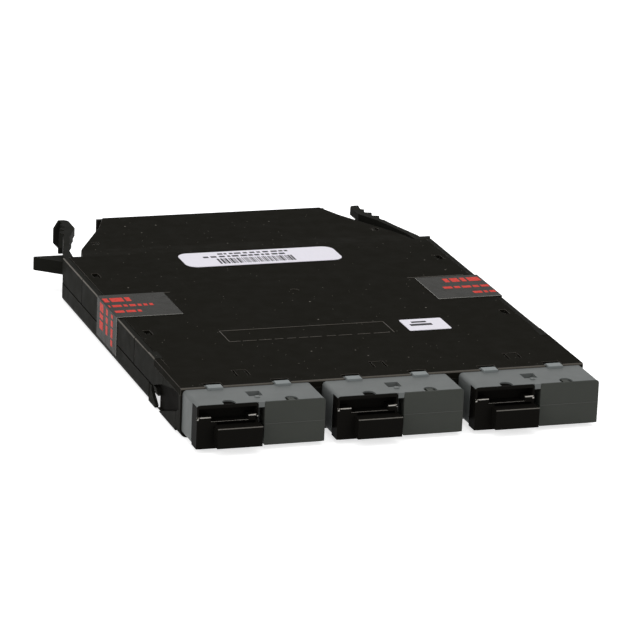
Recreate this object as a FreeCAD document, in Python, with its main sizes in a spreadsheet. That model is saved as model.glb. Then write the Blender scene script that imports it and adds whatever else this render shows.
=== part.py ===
import FreeCAD, Part
import math
import os
import re
import Sketcher
from FreeCAD import Vector

# Fibre cassette: a flat black tray and lid that carries three four-fibre adapters at the front,
# one ribbon adapter at the back and a sprung release arm at each rear corner.
# Frame: X to the right, Y from the ports to the back, Z up; the origin is the centre of the
# box around the whole cassette, at its underside. Every sub-part is drawn with Y = 0 at the
# front edge of the lid and then moved back by the same shift.

SIZES = [
    # the housing as a whole
    ("body_width", 83.0),
    ("body_height", 10.0),
    ("lid_thickness", 1.5),
    ("floor_thickness", 1.5),
    ("side_wall", 1.8),
    ("post_wall", 1.15),
    ("post_play", 0.3),
    ("tail_wall", 1.6),
    ("part_gap", 0.05),
    ("lid_gap", 0.1),
    # plan outline behind the side walls
    ("slot_floor", 88.9),
    ("rail_end", 93.3),
    ("rail_width", 2.2),
    ("slot_width", 2.1),
    ("shoulder_inset", 5.3),
    ("shoulder_end", 94.2),
    ("waist_inset", 13.9),
    ("waist_end", 110.8),
    ("tail_inset", 16.4),
    ("tail_end", 117.4),
    ("flank_round", 10.0),
    # rails and side bands
    ("edge_drop", 0.7),
    ("rail_height", 4.5),
    ("rail_round", 1.6),
    ("seam_width", 0.3),
    ("seam_depth", 0.25),
    ("seam_rear", 73.0),
    ("seam_middle", 32.7),
    ("seam_front", 12.0),
    ("bump_front", 18.7),
    ("bump_back", 23.0),
    ("bump_rise", 0.45),
    # the latch corner at the front of each side
    ("window_front", 3.0),
    ("window_back", 21.8),
    ("window_depth", 1.2),
    ("block_back", 16.6),
    ("block_inset", 0.85),
    ("sill_height", 2.4),
    ("sill_bevel", 1.2),
    ("tongue_length", 1.4),
    ("tongue_width", 0.9),
    # flange across the back
    ("flange_thickness", 1.0),
    ("flange_step", 1.2),
    ("flange_drop", 0.8),
    # lid details
    ("bevel_start", 11.1),
    ("slope_start", 88.0),
    ("slope_end", 94.0),
    ("slope_drop", 0.3),
    ("snap_inset", 3.4),
    ("snap_front", 35.1),
    ("snap_back", 74.7),
    ("snap_width", 1.4),
    ("snap_length", 3.0),
    ("tail_snap_inset", 9.8),
    ("tail_snap", 98.6),
    ("tail_snap_size", 1.6),
    ("finger_width", 2.9),
    ("finger_length", 3.3),
    ("finger_front", 5.6),
    ("finger_shift", 0.95),
    ("slit_width", 0.4),
    ("slit_depth", 0.5),
    ("dimple_across", 1.8),
    ("dimple_depth", 0.15),
    ("dimple_back", 57.5),
    # front adapters
    ("adapter_width", 25.8),
    ("adapter_neck", 24.2),
    ("adapter_base", 0.95),
    ("adapter_top", 9.65),
    ("adapter_front", 9.6),
    ("adapter_back", 16.0),
    ("adapter_round", 0.8),
    ("hood_depth", 3.2),
    ("hood_base", 7.4),
    ("hood_wall", 0.35),
    ("web_half", 0.6),
    ("web_base", 8.6),
    ("port_width", 10.8),
    ("port_height", 6.0),
    ("port_axis", 5.0),
    ("port_offset", 6.25),
    ("partition_front", 2.0),
    ("partition_thickness", 1.2),
    ("fibre_pitch", 6.25),
    ("sleeve_outer", 0.81),
    ("sleeve_bore", 0.64),
    ("sleeve_length", 6.8),
    ("tab_left", 6.6),
    ("tab_right", 7.1),
    ("tab_width", 3.0),
    ("tab_length", 2.0),
    ("notch_play", 0.3),
    ("pry_radius", 1.25),
    ("pry_reach", 2.5),
    ("recess_size", 2.8),
    ("recess_front", 5.8),
    ("recess_depth", 1.0),
    ("nub_radius", 0.55),
    ("nub_front", 6.6),
    ("nub_rise", 0.2),
    # port closures
    ("closure_gap", 0.15),
    ("closure_inner", 5.6),
    ("closure_outer", 6.25),
    ("closure_base", 0.9),
    ("closure_round", 0.6),
    ("plug_length", 5.4),
    ("cap_top", 9.1),
    ("blank_top", 9.2),
    ("recess_wall", 0.5),
    ("ledge_width", 1.9),
    ("ledge_top", 7.4),
    ("sill_top", 6.3),
    ("cap_recess", 2.6),
    ("pull_left", 3.1),
    ("pull_right", 5.9),
    ("pull_base", 1.6),
    ("pull_top", 5.6),
    ("pull_length", 2.5),
    ("pull_gap", 0.7),
    ("blank_seam", 5.2),
    # release arms
    ("arm_base", 4.6),
    ("arm_top", 9.2),
    ("arm_half", 0.85),
    ("arm_gap", 0.1),
    ("arm_inset", 1.9),
    ("fin_proud", 3.6),
    ("fin_front", 5.6),
    ("fin_back", 11.0),
    ("fin_tip", 0.6),
    ("fin_base", 4.25),
    ("fin_top", 7.1),
    ("head_start", 18.1),
    ("head_base", 5.8),
    ("head_end", 30.2),
    ("tooth_pitch", 2.75),
    ("tooth_rise", 1.5),
    ("tooth_gap", 1.0),
    ("pad_width", 1.8),
    ("pad_taper", 0.85),
    ("blade_thickness", 0.8),
    ("blade_base", 1.7),
    ("blade_stem", 1.1),
    ("blade_tab", 1.2),
    ("blade_slope", 1.3),
    ("tab_base", 4.1),
    ("tab_top", 7.4),
    # rear adapter and its cap
    ("ribbon_width", 12.8),
    ("ribbon_front", 106.0),
    ("ribbon_end", 121.4),
    ("ribbon_wall", 0.8),
    ("ribbon_ear", 2.0),
    ("ribbon_ear_length", 2.0),
    ("rear_cap_end", 125.0),
    ("rear_cap_width", 11.8),
    ("rear_cap_height", 4.8),
    ("rear_plug_length", 5.0),
    # connectors and fibres inside
    ("plug_width", 4.5),
    ("plug_height", 4.6),
    ("plug_body", 5.0),
    ("boot_length", 7.0),
    ("boot_radius", 1.7),
    ("tip_radius", 0.62),
    ("ribbon_plug_back", 94.0),
    ("ribbon_boot", 6.0),
    ("fanout_width", 12.0),
    ("fanout_front", 78.0),
    ("fanout_back", 86.0),
    ("fanout_height", 6.0),
    ("splitter_width", 6.0),
    ("splitter_front", 46.0),
    ("splitter_back", 52.0),
    ("leg_diameter", 2.0),
    ("leg_spacing", 3.0),
    ("leg_bend", 10.0),
    ("fibre_diameter", 0.9),
    ("fibre_spacing", 1.0),
    # printed parts and seals
    ("film_thickness", 0.12),
    ("long_label_width", 34.8),
    ("long_label_length", 10.0),
    ("long_label_front", 76.6),
    ("long_label_round", 2.5),
    ("short_label_width", 9.0),
    ("short_label_length", 7.2),
    ("short_label_left", 14.4),
    ("short_label_front", 26.2),
    ("short_label_round", 0.4),
    ("seal_front", 45.7),
    ("seal_length", 15.0),
    ("seal_reach", 13.9),
    ("seal_base", 1.8),
]

# Plan of a release arm from root to head, as distances in from the side face and back from the root's slot.
ARM_OUTER = [("arm_waist_out", 1.3, 5.1), ("arm_bend_out", 3.0, 13.9), ("arm_neck_out", 3.9, 18.0)]
ARM_INNER = [("arm_palm_in", 8.85, 23.6), ("arm_throat_in", 7.1, 17.9), ("arm_bend_in", 4.9, 13.0),
             ("arm_waist_in", 3.3, 7.0)]

# Places that follow from the sizes above.
HALF = "(body_width / 2)"
PITCH = "(body_width / 2 - post_wall - part_gap - adapter_neck / 2)"
ARM_AXIS = "(body_width / 2 - arm_inset)"

# Small round pieces inside have few sides, and a tube's volume has to match its path to this share.
ROD_SIDES = 8
TUBE_SIDES = 6
VOLUME_SLACK = 0.02

doc = FreeCAD.newDocument("fibre_cassette")
sheet = doc.addObject("Spreadsheet::Sheet", "sizes")


def fill_sheet():
    """Write every driving size into its own cell, with its name as the alias."""
    rows = list(SIZES)
    for name, across, along in ARM_OUTER + ARM_INNER:
        rows.append((name + "_x", across))
        rows.append((name + "_y", along))
    for row, (alias, value) in enumerate(rows, start=1):
        sheet.set("A%d" % row, alias)
        sheet.set("B%d" % row, str(value))
        sheet.setAlias("B%d" % row, alias)
    doc.recompute()


def bound(expression):
    """Turn words of an expression into references to the sheet."""
    return re.sub(r"[a-z][a-z_]*", r"sizes.\g<0>", expression)


def size(expression):
    """Value of an expression of sheet names, in millimetres."""
    return float(sheet.evalExpression(bound(expression)))


def shift():
    """Expression that moves a sub-part from the lid's edge to the cassette's own middle."""
    return "(adapter_front + pull_length - rear_cap_end) / 2"


def place(thing, x="0"):
    """Bind a finished sub-part's place to the sheet."""
    thing.setExpression("Placement.Base.x", bound(x))
    thing.setExpression("Placement.Base.y", bound(shift()))


def new_body(label):
    """Start a body whose label is the sub-part's name."""
    body = doc.addObject("PartDesign::Body", label)
    body.Label = label
    return body


def attach(body, name, plane, offset):
    """Empty sketch on one of the body's origin planes, moved along the plane's normal."""
    sketch = body.newObject("Sketcher::SketchObject", name)
    support = [item for item in body.Origin.OriginFeatures if item.Role == plane][0]
    sketch.AttachmentSupport = [(support, "")]
    sketch.MapMode = "FlatFace"
    sketch.setExpression("AttachmentOffset.Base.z", bound(offset))
    return sketch


def draw(body, name, plane, offset, corners):
    """Closed sketch through corners on one of the body's origin planes."""
    sketch = attach(body, name, plane, offset)
    points = [Vector(size(across), size(along), 0) for across, along in corners]
    count = len(points)
    for i in range(count):
        sketch.addGeometry(Part.LineSegment(points[i], points[(i + 1) % count]))
    for i in range(count):
        sketch.addConstraint(Sketcher.Constraint("Coincident", i, 2, (i + 1) % count, 1))
    for i, corner in enumerate(corners):
        for kind, value, expression in zip(("DistanceX", "DistanceY"), points[i], corner):
            index = sketch.addConstraint(Sketcher.Constraint(kind, -1, 1, i, 1, value))
            sketch.setExpression("Constraints[%d]" % index, bound(expression))
    return sketch


def extrude(body, kind, name, plane, start, end, corners):
    """Pad or pocket a closed outline between two stations along the plane's axis."""
    backwards = plane == "XZ_Plane"
    offset = "-(%s)" % end if backwards else start
    sketch = draw(body, name + "_sketch", plane, offset, corners)
    feature = body.newObject("PartDesign::" + kind, name)
    feature.Profile = sketch
    feature.setExpression("Length", bound("(%s) - (%s)" % (end, start)))
    feature.Reversed = kind == "Pocket"
    doc.recompute()
    return feature


def pad(body, name, plane, start, end, corners):
    """Add material between two stations."""
    return extrude(body, "Pad", name, plane, start, end, corners)


def pocket(body, name, plane, start, end, corners):
    """Remove material between two stations and make sure that something was cut."""
    before = body.Shape.Volume
    feature = extrude(body, "Pocket", name, plane, start, end, corners)
    if body.Shape.Volume >= before:
        raise RuntimeError("pocket %s of %s cut nothing" % (name, body.Label))
    return feature


def draw_circle(body, name, plane, offset, across, up, radius):
    """Sketch of one circle on an origin plane."""
    sketch = attach(body, name, plane, offset)
    centre = Vector(size(across), size(up), 0)
    sketch.addGeometry(Part.Circle(centre, Vector(0, 0, 1), size(radius)))
    for kind, value, expression in (("DistanceX", centre.x, across), ("DistanceY", centre.y, up)):
        index = sketch.addConstraint(Sketcher.Constraint(kind, -1, 1, 0, 3, value))
        sketch.setExpression("Constraints[%d]" % index, bound(expression))
    index = sketch.addConstraint(Sketcher.Constraint("Radius", 0, size(radius)))
    sketch.setExpression("Constraints[%d]" % index, bound(radius))
    return sketch


def round_pocket(body, name, plane, start, end, across, up, radius):
    """Round hole between two stations along the plane's axis."""
    before = body.Shape.Volume
    offset = "-(%s)" % end if plane == "XZ_Plane" else start
    feature = body.newObject("PartDesign::Pocket", name)
    feature.Profile = draw_circle(body, name + "_sketch", plane, offset, across, up, radius)
    feature.setExpression("Length", bound("(%s) - (%s)" % (end, start)))
    feature.Reversed = True
    doc.recompute()
    if body.Shape.Volume >= before:
        raise RuntimeError("hole %s of %s cut nothing" % (name, body.Label))
    return feature


def rectangle(left, right, low, high):
    """Corners of a rectangle."""
    return [(left, low), (right, low), (right, high), (left, high)]


def rod_corners(across, up, radius):
    """Corners of a hole that a rod of the same radius fills."""
    corners = []
    for i in range(ROD_SIDES):
        turn = 2 * math.pi * i / ROD_SIDES
        corners.append(("%s + %.9f * (%s)" % (across, math.cos(turn), radius),
                        "%s + %.9f * (%s)" % (up, math.sin(turn), radius)))
    return corners


def mirrored(half):
    """Complete a right-hand half outline with its left-hand image."""
    return half + [("-(%s)" % across, along) for across, along in reversed(half)]


def handed(side, corners):
    """Outline on the right for side 1, on the left for side -1."""
    return [("%d * (%s)" % (side, across), along) for across, along in corners]


def round_edges(body, name, radius, test):
    """Fillet the edges that a test picks."""
    base = body.Tip
    edges = ["Edge%d" % (i + 1) for i, edge in enumerate(base.Shape.Edges) if test(edge)]
    fillet = body.newObject("PartDesign::Fillet", name)
    fillet.Base = (base, edges)
    fillet.setExpression("Radius", bound(radius))
    doc.recompute()
    return fillet


def along(edge, axis):
    """True where an edge is straight and runs along an axis."""
    if edge.Curve.TypeId != "Part::GeomLine":
        return False
    return abs(abs(edge.tangentAt(edge.FirstParameter).dot(axis)) - 1) < 1e-6


def through(edge, spots):
    """True for an upright edge that stands on one of some plan positions."""
    if not along(edge, Vector(0, 0, 1)):
        return False
    foot = edge.CenterOfMass
    return any(math.hypot(foot.x - x, foot.y - y) < 0.01 for x, y in spots)


def box(name, x0, x1, y0, y1, z0, z1):
    """Box between stations, bound to the sheet."""
    block = doc.addObject("Part::Box", name)
    for side, low, high in (("Length", x0, x1), ("Width", y0, y1), ("Height", z0, z1)):
        block.setExpression(side, bound("(%s) - (%s)" % (high, low)))
    for axis, low in (("x", x0), ("y", y0), ("z", z0)):
        block.setExpression("Placement.Base." + axis, bound(low))
    return block


def rod(name, x, y0, y1, z, radius):
    """Rod of ROD_SIDES flat sides along Y between two stations."""
    prism = doc.addObject("Part::Prism", name)
    prism.Polygon = ROD_SIDES
    prism.Placement.Rotation = FreeCAD.Rotation(Vector(1, 0, 0), -90)
    prism.setExpression("Circumradius", bound(radius))
    prism.setExpression("Height", bound("(%s) - (%s)" % (y1, y0)))
    for axis, value in (("x", x), ("y", y0), ("z", z)):
        prism.setExpression("Placement.Base." + axis, bound(value))
    return prism


def gather(kind, name, pieces):
    """Join pieces into one object: a fusion, or a compound of separate solids."""
    joined = doc.addObject(kind, name)
    if kind == "Part::Compound":
        joined.Links = pieces
    else:
        joined.Shapes = pieces
    return joined


def outline(inset, front, half_front):
    """Right half of the housing's plan behind the side walls, set in by a wall."""
    return [
        (half_front, front),
        (half_front, "slot_floor - (%s)" % inset),
        ("body_width / 2 - rail_width - slot_width - (%s)" % inset, "slot_floor - (%s)" % inset),
        ("body_width / 2 - shoulder_inset - (%s)" % inset, "shoulder_end - (%s)" % inset),
        ("body_width / 2 - waist_inset - (%s)" % inset, "waist_end - (%s)" % inset),
        ("body_width / 2 - tail_inset - (%s)" % inset, "tail_end - (%s)" % inset),
    ]


def flank_spots(inset):
    """Plan positions of the two bends of each flank."""
    spots = []
    for across, back in (("shoulder_inset", "shoulder_end"), ("waist_inset", "waist_end")):
        x = size("body_width / 2 - %s - (%s)" % (across, inset))
        y = size("%s - (%s)" % (back, inset))
        spots += [(x, y), (-x, y)]
    return spots


def make_base_tray():
    """Tray: floor, side walls with rails, latch corners, tapered tail and rear flange."""
    body = new_body("base_tray")
    half = "body_width / 2"
    tray_top = "body_height - lid_thickness"
    rim_top = "body_height - edge_drop"
    plan = [(half, "0"), (half, "rail_end"), (half + " - rail_width", "rail_end")]
    plan += outline("0", "slot_floor", half + " - rail_width")[1:]
    pad(body, "shell", "XY_Plane", "0", tray_top, mirrored(plan))
    round_edges(body, "flanks", "flank_round", lambda edge: through(edge, flank_spots("0")))
    opening = half + " - post_wall"
    post_end = "adapter_back + post_play"
    bay = PITCH + " + port_offset + fibre_pitch / 2 + plug_width / 2 + lid_gap"
    bay_end = "adapter_back + plug_body + post_play"
    room = [(opening, "-1"), (opening, post_end), (bay, post_end), (bay, bay_end)]
    room += outline("tail_wall", bay_end, half + " - side_wall")
    pocket(body, "room", "XY_Plane", "floor_thickness", tray_top + " + 1", mirrored(room))
    round_edges(body, "rail_edges", "rail_round",
                lambda edge: along(edge, Vector(0, 1, 0)) and edge.CenterOfMass.z < 0.01
                and abs(edge.CenterOfMass.x) > size(half) - 0.01)
    for side, word in ((1, "right"), (-1, "left")):
        inner = half + " - side_wall"
        rim = handed(side, rectangle(inner, half, "bump_front", "slot_floor"))
        pad(body, "rim_" + word, "XY_Plane", tray_top, rim_top, rim)
        bump = handed(side, rectangle(inner, half, "bump_front", "bump_back"))
        pad(body, "bump_" + word, "XY_Plane", rim_top, rim_top + " + bump_rise", bump)
        step = handed(side,
                      rectangle(half + " - rail_width - 1", half + " + 1", "slot_floor", "rail_end + 1"))
        pocket(body, "rail_step_" + word, "XY_Plane", "rail_height", tray_top + " + 1", step)
        cut_seams(body, side, word)
        shape_corner(body, side, word)
    for side, word in ((1, "right"), (-1, "left")):
        middle = PITCH + " / 2"
        reach = "(%s - adapter_neck) / 2 - 4 * part_gap" % PITCH
        post = handed(side, rectangle(middle + " - (%s)" % reach, middle + " + (%s)" % reach, "0",
                                      "adapter_back - 2"))
        pad(body, "divider_" + word, "XY_Plane", "floor_thickness", tray_top, post)
    flange_half = "(body_width / 2 - tail_inset + flange_step)"
    flange = rectangle("-" + flange_half, flange_half, "0", "body_height - flange_drop")
    pad(body, "flange", "XZ_Plane", "tail_end", "tail_end + flange_thickness", flange)
    window = rectangle("-(ribbon_width / 2 + part_gap)", "ribbon_width / 2 + part_gap", "floor_thickness",
                       tray_top)
    pocket(body, "rear_port", "XZ_Plane", "tail_end - tail_wall - 1", "tail_end + flange_thickness + 1",
           window)
    place(body)
    return body


def cut_seams(body, side, word):
    """Line between rail and upper band, and the short upright seams above it."""
    half = "body_width / 2"
    skin = (half + " - seam_depth", half + " + 1")
    line = handed(side, rectangle(skin[0], skin[1], "window_back", "rail_end + 1"))
    pocket(body, "band_line_" + word, "XY_Plane", "rail_height - seam_width", "rail_height", line)
    for seam in ("seam_rear", "seam_middle", "seam_front"):
        slot = handed(side, rectangle(skin[0], skin[1], seam, seam + " + seam_width"))
        pocket(body, seam + "_" + word, "XY_Plane", "rail_height", "body_height", slot)


def shape_corner(body, side, word):
    """Open the latch corner: a recess over a bevelled sill, then a gap with the rail's tongue in it."""
    half = "body_width / 2"
    back = half + " - block_inset"
    recess = handed(side, [(back, "rail_height"), (half + " + 1", "rail_height"),
                           (half + " + 1", "sill_height - sill_bevel"), (half, "sill_height - sill_bevel"),
                           (back, "sill_height")])
    pocket(body, "recess_" + word, "XZ_Plane", "window_front", "block_back", recess)
    gap = handed(side, rectangle(half + " - window_depth", half + " + 1", "block_back", "window_back"))
    pocket(body, "gap_" + word, "XY_Plane", "-1", "rail_height", gap)
    outer = half + " - rail_round / 4"
    tongue = handed(side, rectangle(outer + " - tongue_width", outer, "window_back - tongue_length",
                                    "window_back + 1"))
    pad(body, "tongue_" + word, "XY_Plane", "rail_round", "rail_height - tongue_length", tongue)


def make_top_cover():
    """Lid with tab notches, snap windows, snap fingers, bevelled shoulders and a gentle rear slope."""
    body = new_body("top_cover")
    half = "body_width / 2"
    under = "body_height - lid_thickness"
    inner = half + " - side_wall - lid_gap"
    plan = [(half, "0"), (half, "bump_front - lid_gap"), (inner, "bump_front - lid_gap")]
    plan += outline("0", "slot_floor", inner)[1:]
    pad(body, "plate", "XY_Plane", under, "body_height", mirrored(plan))
    round_edges(body, "flanks", "flank_round", lambda edge: through(edge, flank_spots("0")))
    slope = [("slope_start", "body_height"), ("slope_end", "body_height - slope_drop"),
             ("tail_end + 1", "body_height - slope_drop"), ("tail_end + 1", "body_height + 1"),
             ("slope_start", "body_height + 1")]
    pocket(body, "rear_slope", "YZ_Plane", "-" + half, half, slope)
    for side, word in ((1, "right"), (-1, "left")):
        shoulder = [("bevel_start", "body_height"), ("bump_front", "body_height - edge_drop"),
                    ("bump_front", "body_height + 1"), ("bevel_start", "body_height + 1")]
        ends = (inner, half + " + 1") if side == 1 else ("-(%s + 1)" % half, "-(%s)" % inner)
        pocket(body, "shoulder_" + word, "YZ_Plane", ends[0], ends[1], shoulder)
        for name, spot in (("front", "snap_front"), ("back", "snap_back")):
            hole = handed(side, rectangle(HALF + " - snap_inset - snap_width / 2",
                                          HALF + " - snap_inset + snap_width / 2",
                                          spot + " - snap_length / 2", spot + " + snap_length / 2"))
            pocket(body, "snap_%s_%s" % (name, word), "XY_Plane", under + " - 1", "body_height + 1", hole)
        hole = handed(side, rectangle(HALF + " - tail_snap_inset - tail_snap_size / 2",
                                      HALF + " - tail_snap_inset + tail_snap_size / 2",
                                      "tail_snap - tail_snap_size / 2", "tail_snap + tail_snap_size / 2"))
        pocket(body, "tail_snap_" + word, "XY_Plane", under + " - 1", "body_height + 1", hole)
    for column in (-1, 0, 1):
        cut_lid_front(body, column)
    round_pocket(body, "gate_dimple", "XY_Plane", "body_height - dimple_depth", "body_height", "0",
                 "dimple_back",
                 "dimple_across / 2")
    place(body)
    return body


def cut_lid_front(body, column):
    """Notches for one adapter's tabs and the slit that frees its snap finger."""
    under = "body_height - lid_thickness"
    middle = "%d * %s" % (column, PITCH)
    word = NAMES[column]
    for name, centre in (("left", middle + " - tab_left"), ("right", middle + " + tab_right")):
        notch = rectangle(centre + " - tab_width / 2 - notch_play", centre + " + tab_width / 2 + notch_play",
                          "-1", "tab_length + notch_play")
        pocket(body, "notch_%s_%s" % (name, word), "XY_Plane", under + " - 1", "body_height + 1", notch)
    left = middle + " + finger_shift - finger_width / 2"
    right = middle + " + finger_shift + finger_width / 2"
    front = "finger_front"
    back = "finger_front + finger_length"
    slit = [(left, front), (left + " + slit_width", front), (left + " + slit_width", back + " - slit_width"),
            (right + " - slit_width", back + " - slit_width"), (right + " - slit_width", front),
            (right, front),
            (right, back), (left, back)]
    pocket(body, "slit_" + word, "XY_Plane", "body_height - slit_depth", "body_height + 1", slit)


def make_adapter(column):
    """Front adapter: four fibre positions in two ports, a hood over the closures and two tabs."""
    body = new_body("front_adapter_" + NAMES[column])
    half = "adapter_width / 2"
    neck_top = "body_height - lid_thickness - part_gap"
    pad(body, "front", "XZ_Plane", "-adapter_front", "0",
        rectangle("-" + half, half, "adapter_base", "adapter_top"))
    round_edges(body, "corners", "adapter_round", lambda edge: along(edge, Vector(0, 1, 0)))
    pad(body, "neck", "XZ_Plane", "-1", "adapter_back",
        rectangle("-adapter_neck / 2", "adapter_neck / 2", "floor_thickness", neck_top))
    pocket(body, "under_hood", "XZ_Plane", "-(adapter_front + 1)", "hood_depth - adapter_front",
           rectangle("-(%s + 1)" % half, half + " + 1", "0", "hood_base"))
    for side, word in ((1, "right"), (-1, "left")):
        hood = handed(side, rectangle("web_half", half + " - hood_wall", "hood_base - 1",
                                      "adapter_top - hood_wall"))
        pocket(body, "hood_" + word, "XZ_Plane", "-(adapter_front + 1)", "hood_depth - adapter_front", hood)
        low = "port_axis - port_height / 2"
        high = "port_axis + port_height / 2"
        port = handed(side,
                      rectangle("port_offset - port_width / 2", "port_offset + port_width / 2", low, high))
        pocket(body, "port_" + word, "XZ_Plane", "-adapter_front", "partition_front", port)
        pocket(body, "back_port_" + word, "XZ_Plane", "partition_front + partition_thickness",
               "adapter_back + 1", port)
        for name, offset in (("near", " - fibre_pitch / 2"), ("far", " + fibre_pitch / 2")):
            bore = rod_corners("%d * (port_offset%s)" % (side, offset), "port_axis",
                               "sleeve_outer + part_gap")
            pocket(body, "bore_%s_%s" % (name, word), "XZ_Plane", "partition_front - 0.5",
                   "partition_front + partition_thickness + 0.5", bore)
        tab = "tab_right" if side == 1 else "-tab_left"
        pad(body, "tab_" + word, "XY_Plane", neck_top + " - 0.5", "adapter_top",
            rectangle(tab + " - tab_width / 2", tab + " + tab_width / 2", "-1", "tab_length"))
    web = rectangle("-web_half - 0.5", "web_half + 0.5", "hood_base - 1", "web_base")
    pocket(body, "web_cut", "XZ_Plane", "-(adapter_front + 1)", "hood_depth - adapter_front", web)
    recess = rectangle("-recess_size / 2", "recess_size / 2", "-recess_front", "recess_size - recess_front")
    pocket(body, "top_recess", "XY_Plane", "adapter_top - recess_depth", "adapter_top + 1", recess)
    nub = body.newObject("PartDesign::Pad", "nub")
    nub.Profile = draw_circle(body, "nub_sketch", "XY_Plane", "adapter_top - nub_radius", "0", "-nub_front",
                              "nub_radius")
    nub.setExpression("Length", bound("nub_radius + nub_rise"))
    doc.recompute()
    for name, centre in (("left", "-port_offset"), ("right", "port_offset")):
        round_pocket(body, "pry_notch_" + name, "XY_Plane", "adapter_top - 1.5", "adapter_top + 1", centre,
                     "-adapter_front + pry_reach - pry_radius", "pry_radius")
        slot = rectangle(centre + " - pry_radius", centre + " + pry_radius", "-(adapter_front + 1)",
                         "-adapter_front + pry_reach - pry_radius")
        pocket(body, "pry_mouth_" + name, "XY_Plane", "adapter_top - 1.5", "adapter_top + 1", slot)
    place(body, "%d * %s" % (column, PITCH))
    return body


NAMES = {-1: "left", 0: "centre", 1: "right"}


def plug_pad(body):
    """Stem of a closure that fits the port with a small gap all round."""
    across = "port_width / 2 - closure_gap"
    low = "port_axis - port_height / 2 + closure_gap"
    high = "port_axis + port_height / 2 - closure_gap"
    pad(body, "stem", "XZ_Plane", "hood_depth - adapter_front - 0.5",
        "hood_depth - adapter_front + plug_length",
        rectangle("-(%s)" % across, across, low, high))


def make_dust_cap(column):
    """Glossy cap of the left port, with a recessed face, two ledges and a pull block."""
    body = new_body("dust_cap_" + NAMES[column])
    outer = "-closure_outer"
    inner = "closure_inner"
    face = "-adapter_front"
    back = "hood_depth - adapter_front - closure_gap"
    floor = "cap_recess - adapter_front"
    pad(body, "face", "XZ_Plane", face, back,
        rectangle(outer, inner, "closure_base", "ledge_top - closure_gap"))
    brow = rectangle(outer + " + recess_wall", inner + " - closure_gap", "ledge_top - 1", "cap_top")
    pad(body, "brow", "XZ_Plane", floor, back, brow)
    plug_pad(body)
    left = outer + " + recess_wall + ledge_width"
    slot = rectangle(left, inner + " - ledge_width", "sill_top", "ledge_top + 1")
    pocket(body, "middle_recess", "XZ_Plane", "-(adapter_front + 1)", floor, slot)
    groove = rectangle("-pull_left + 0.5", inner + " - recess_wall", "pull_top", "pull_top + pull_gap - 0.2")
    pocket(body, "pull_recess", "XZ_Plane", "-(adapter_front + 1)", floor, groove)
    block = rectangle("-pull_left", "pull_right", "pull_base", "pull_top")
    pad(body, "pull_block", "XZ_Plane", "-(adapter_front + pull_length)", face + " + 0.5", block)
    round_edges(body, "edges", "closure_round / 2", lambda edge: closure_side(edge))
    place(body, "%d * %s - port_offset" % (column, PITCH))
    return body


def closure_side(edge):
    """True for the lower and upper outside edges of a closure's face."""
    beside = min(abs(abs(edge.CenterOfMass.x) - size(name)) for name in ("closure_inner", "closure_outer"))
    return along(edge, Vector(0, 1, 0)) and beside < 0.01 and edge.Length > size("cap_recess")


def make_port_blank(column):
    """Matt blank of the right port: a plain block with a faint ridge line across its face."""
    body = new_body("port_blank_" + NAMES[column])
    back = "hood_depth - adapter_front - closure_gap"
    side = [("-adapter_front", "closure_base"), (back, "closure_base"), (back, "blank_top"),
            ("-adapter_front", "blank_top"), ("-adapter_front - part_gap", "blank_seam")]
    pad(body, "face", "YZ_Plane", "-closure_inner", "closure_outer", side)
    round_edges(body, "edges", "closure_round / 2", lambda edge: closure_side(edge))
    plug_pad(body)
    lug = rectangle("-pry_radius / 2", "pry_radius / 2", "-adapter_front + 0.5",
                    "-adapter_front + pry_reach - 2 * closure_gap")
    pad(body, "lug", "XY_Plane", "blank_top - 0.5", "adapter_top - closure_gap", lug)
    place(body, "%d * %s + port_offset" % (column, PITCH))
    return body


def arm_spot(name):
    """Plan position of one of the arm's named bends."""
    return ("%s - %s_x" % (HALF, name), "slot_floor + %s_y" % name)


def make_release_arm(side):
    """Sprung arm: curved strip, locking fin, ridged thumb pad and end blade."""
    word = "right" if side == 1 else "left"
    body = new_body("release_arm_" + word)
    root = "slot_floor + arm_gap + arm_half"
    end = "slot_floor + head_end"
    outer = [arm_spot(name) for name, across, back in ARM_OUTER]
    inner = [arm_spot(name) for name, across, back in ARM_INNER]
    plan = [(ARM_AXIS + " + arm_half", root)] + outer + thumb_pad_corners() + inner
    plan.append((ARM_AXIS + " - arm_half", root))
    pad(body, "strip", "XY_Plane", "arm_base", "arm_top", handed(side, plan))
    bends = [(side * size(x), size(y)) for x, y in outer + inner]
    round_edges(body, "bends", "arm_half", lambda edge: through(edge, bends))
    feature = body.newObject("PartDesign::Pad", "root")
    feature.Profile = draw_circle(body, "root_sketch", "XY_Plane", "arm_base",
                                  "%d * %s" % (side, ARM_AXIS), root,
                                  "arm_half")
    feature.setExpression("Length", bound("arm_top - arm_base"))
    doc.recompute()
    under = handed(side, rectangle("0", HALF, "slot_floor + head_start", end + " + 1"))
    pocket(body, "under_head", "XY_Plane", "arm_base - 1", "head_base", under)
    tip = HALF + " + fin_proud"
    back = "slot_floor + fin_back"
    fin = [(HALF + " - arm_waist_out_x - arm_half", "slot_floor + fin_front"), (tip, back + " - fin_tip"),
           (tip, back), (HALF + " - arm_bend_out_x - arm_half", back)]
    pad(body, "fin", "XY_Plane", "fin_base", "fin_top", handed(side, fin))
    stem = HALF + " - arm_palm_in_x + arm_half"
    face = stem + " + blade_stem"
    tab = face + " + blade_tab"
    blade = [(stem, "blade_base"), (face, "blade_base"), (face, "tab_base - blade_slope"), (tab, "tab_base"),
             (tab, "tab_top"), (face + " + blade_stem", "arm_top - part_gap"),
             (face + " + blade_stem", "arm_top"),
             (stem, "arm_top")]
    pad(body, "blade", "XZ_Plane", end + " - blade_thickness", end, handed(side, blade))
    place(body)
    return body


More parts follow.
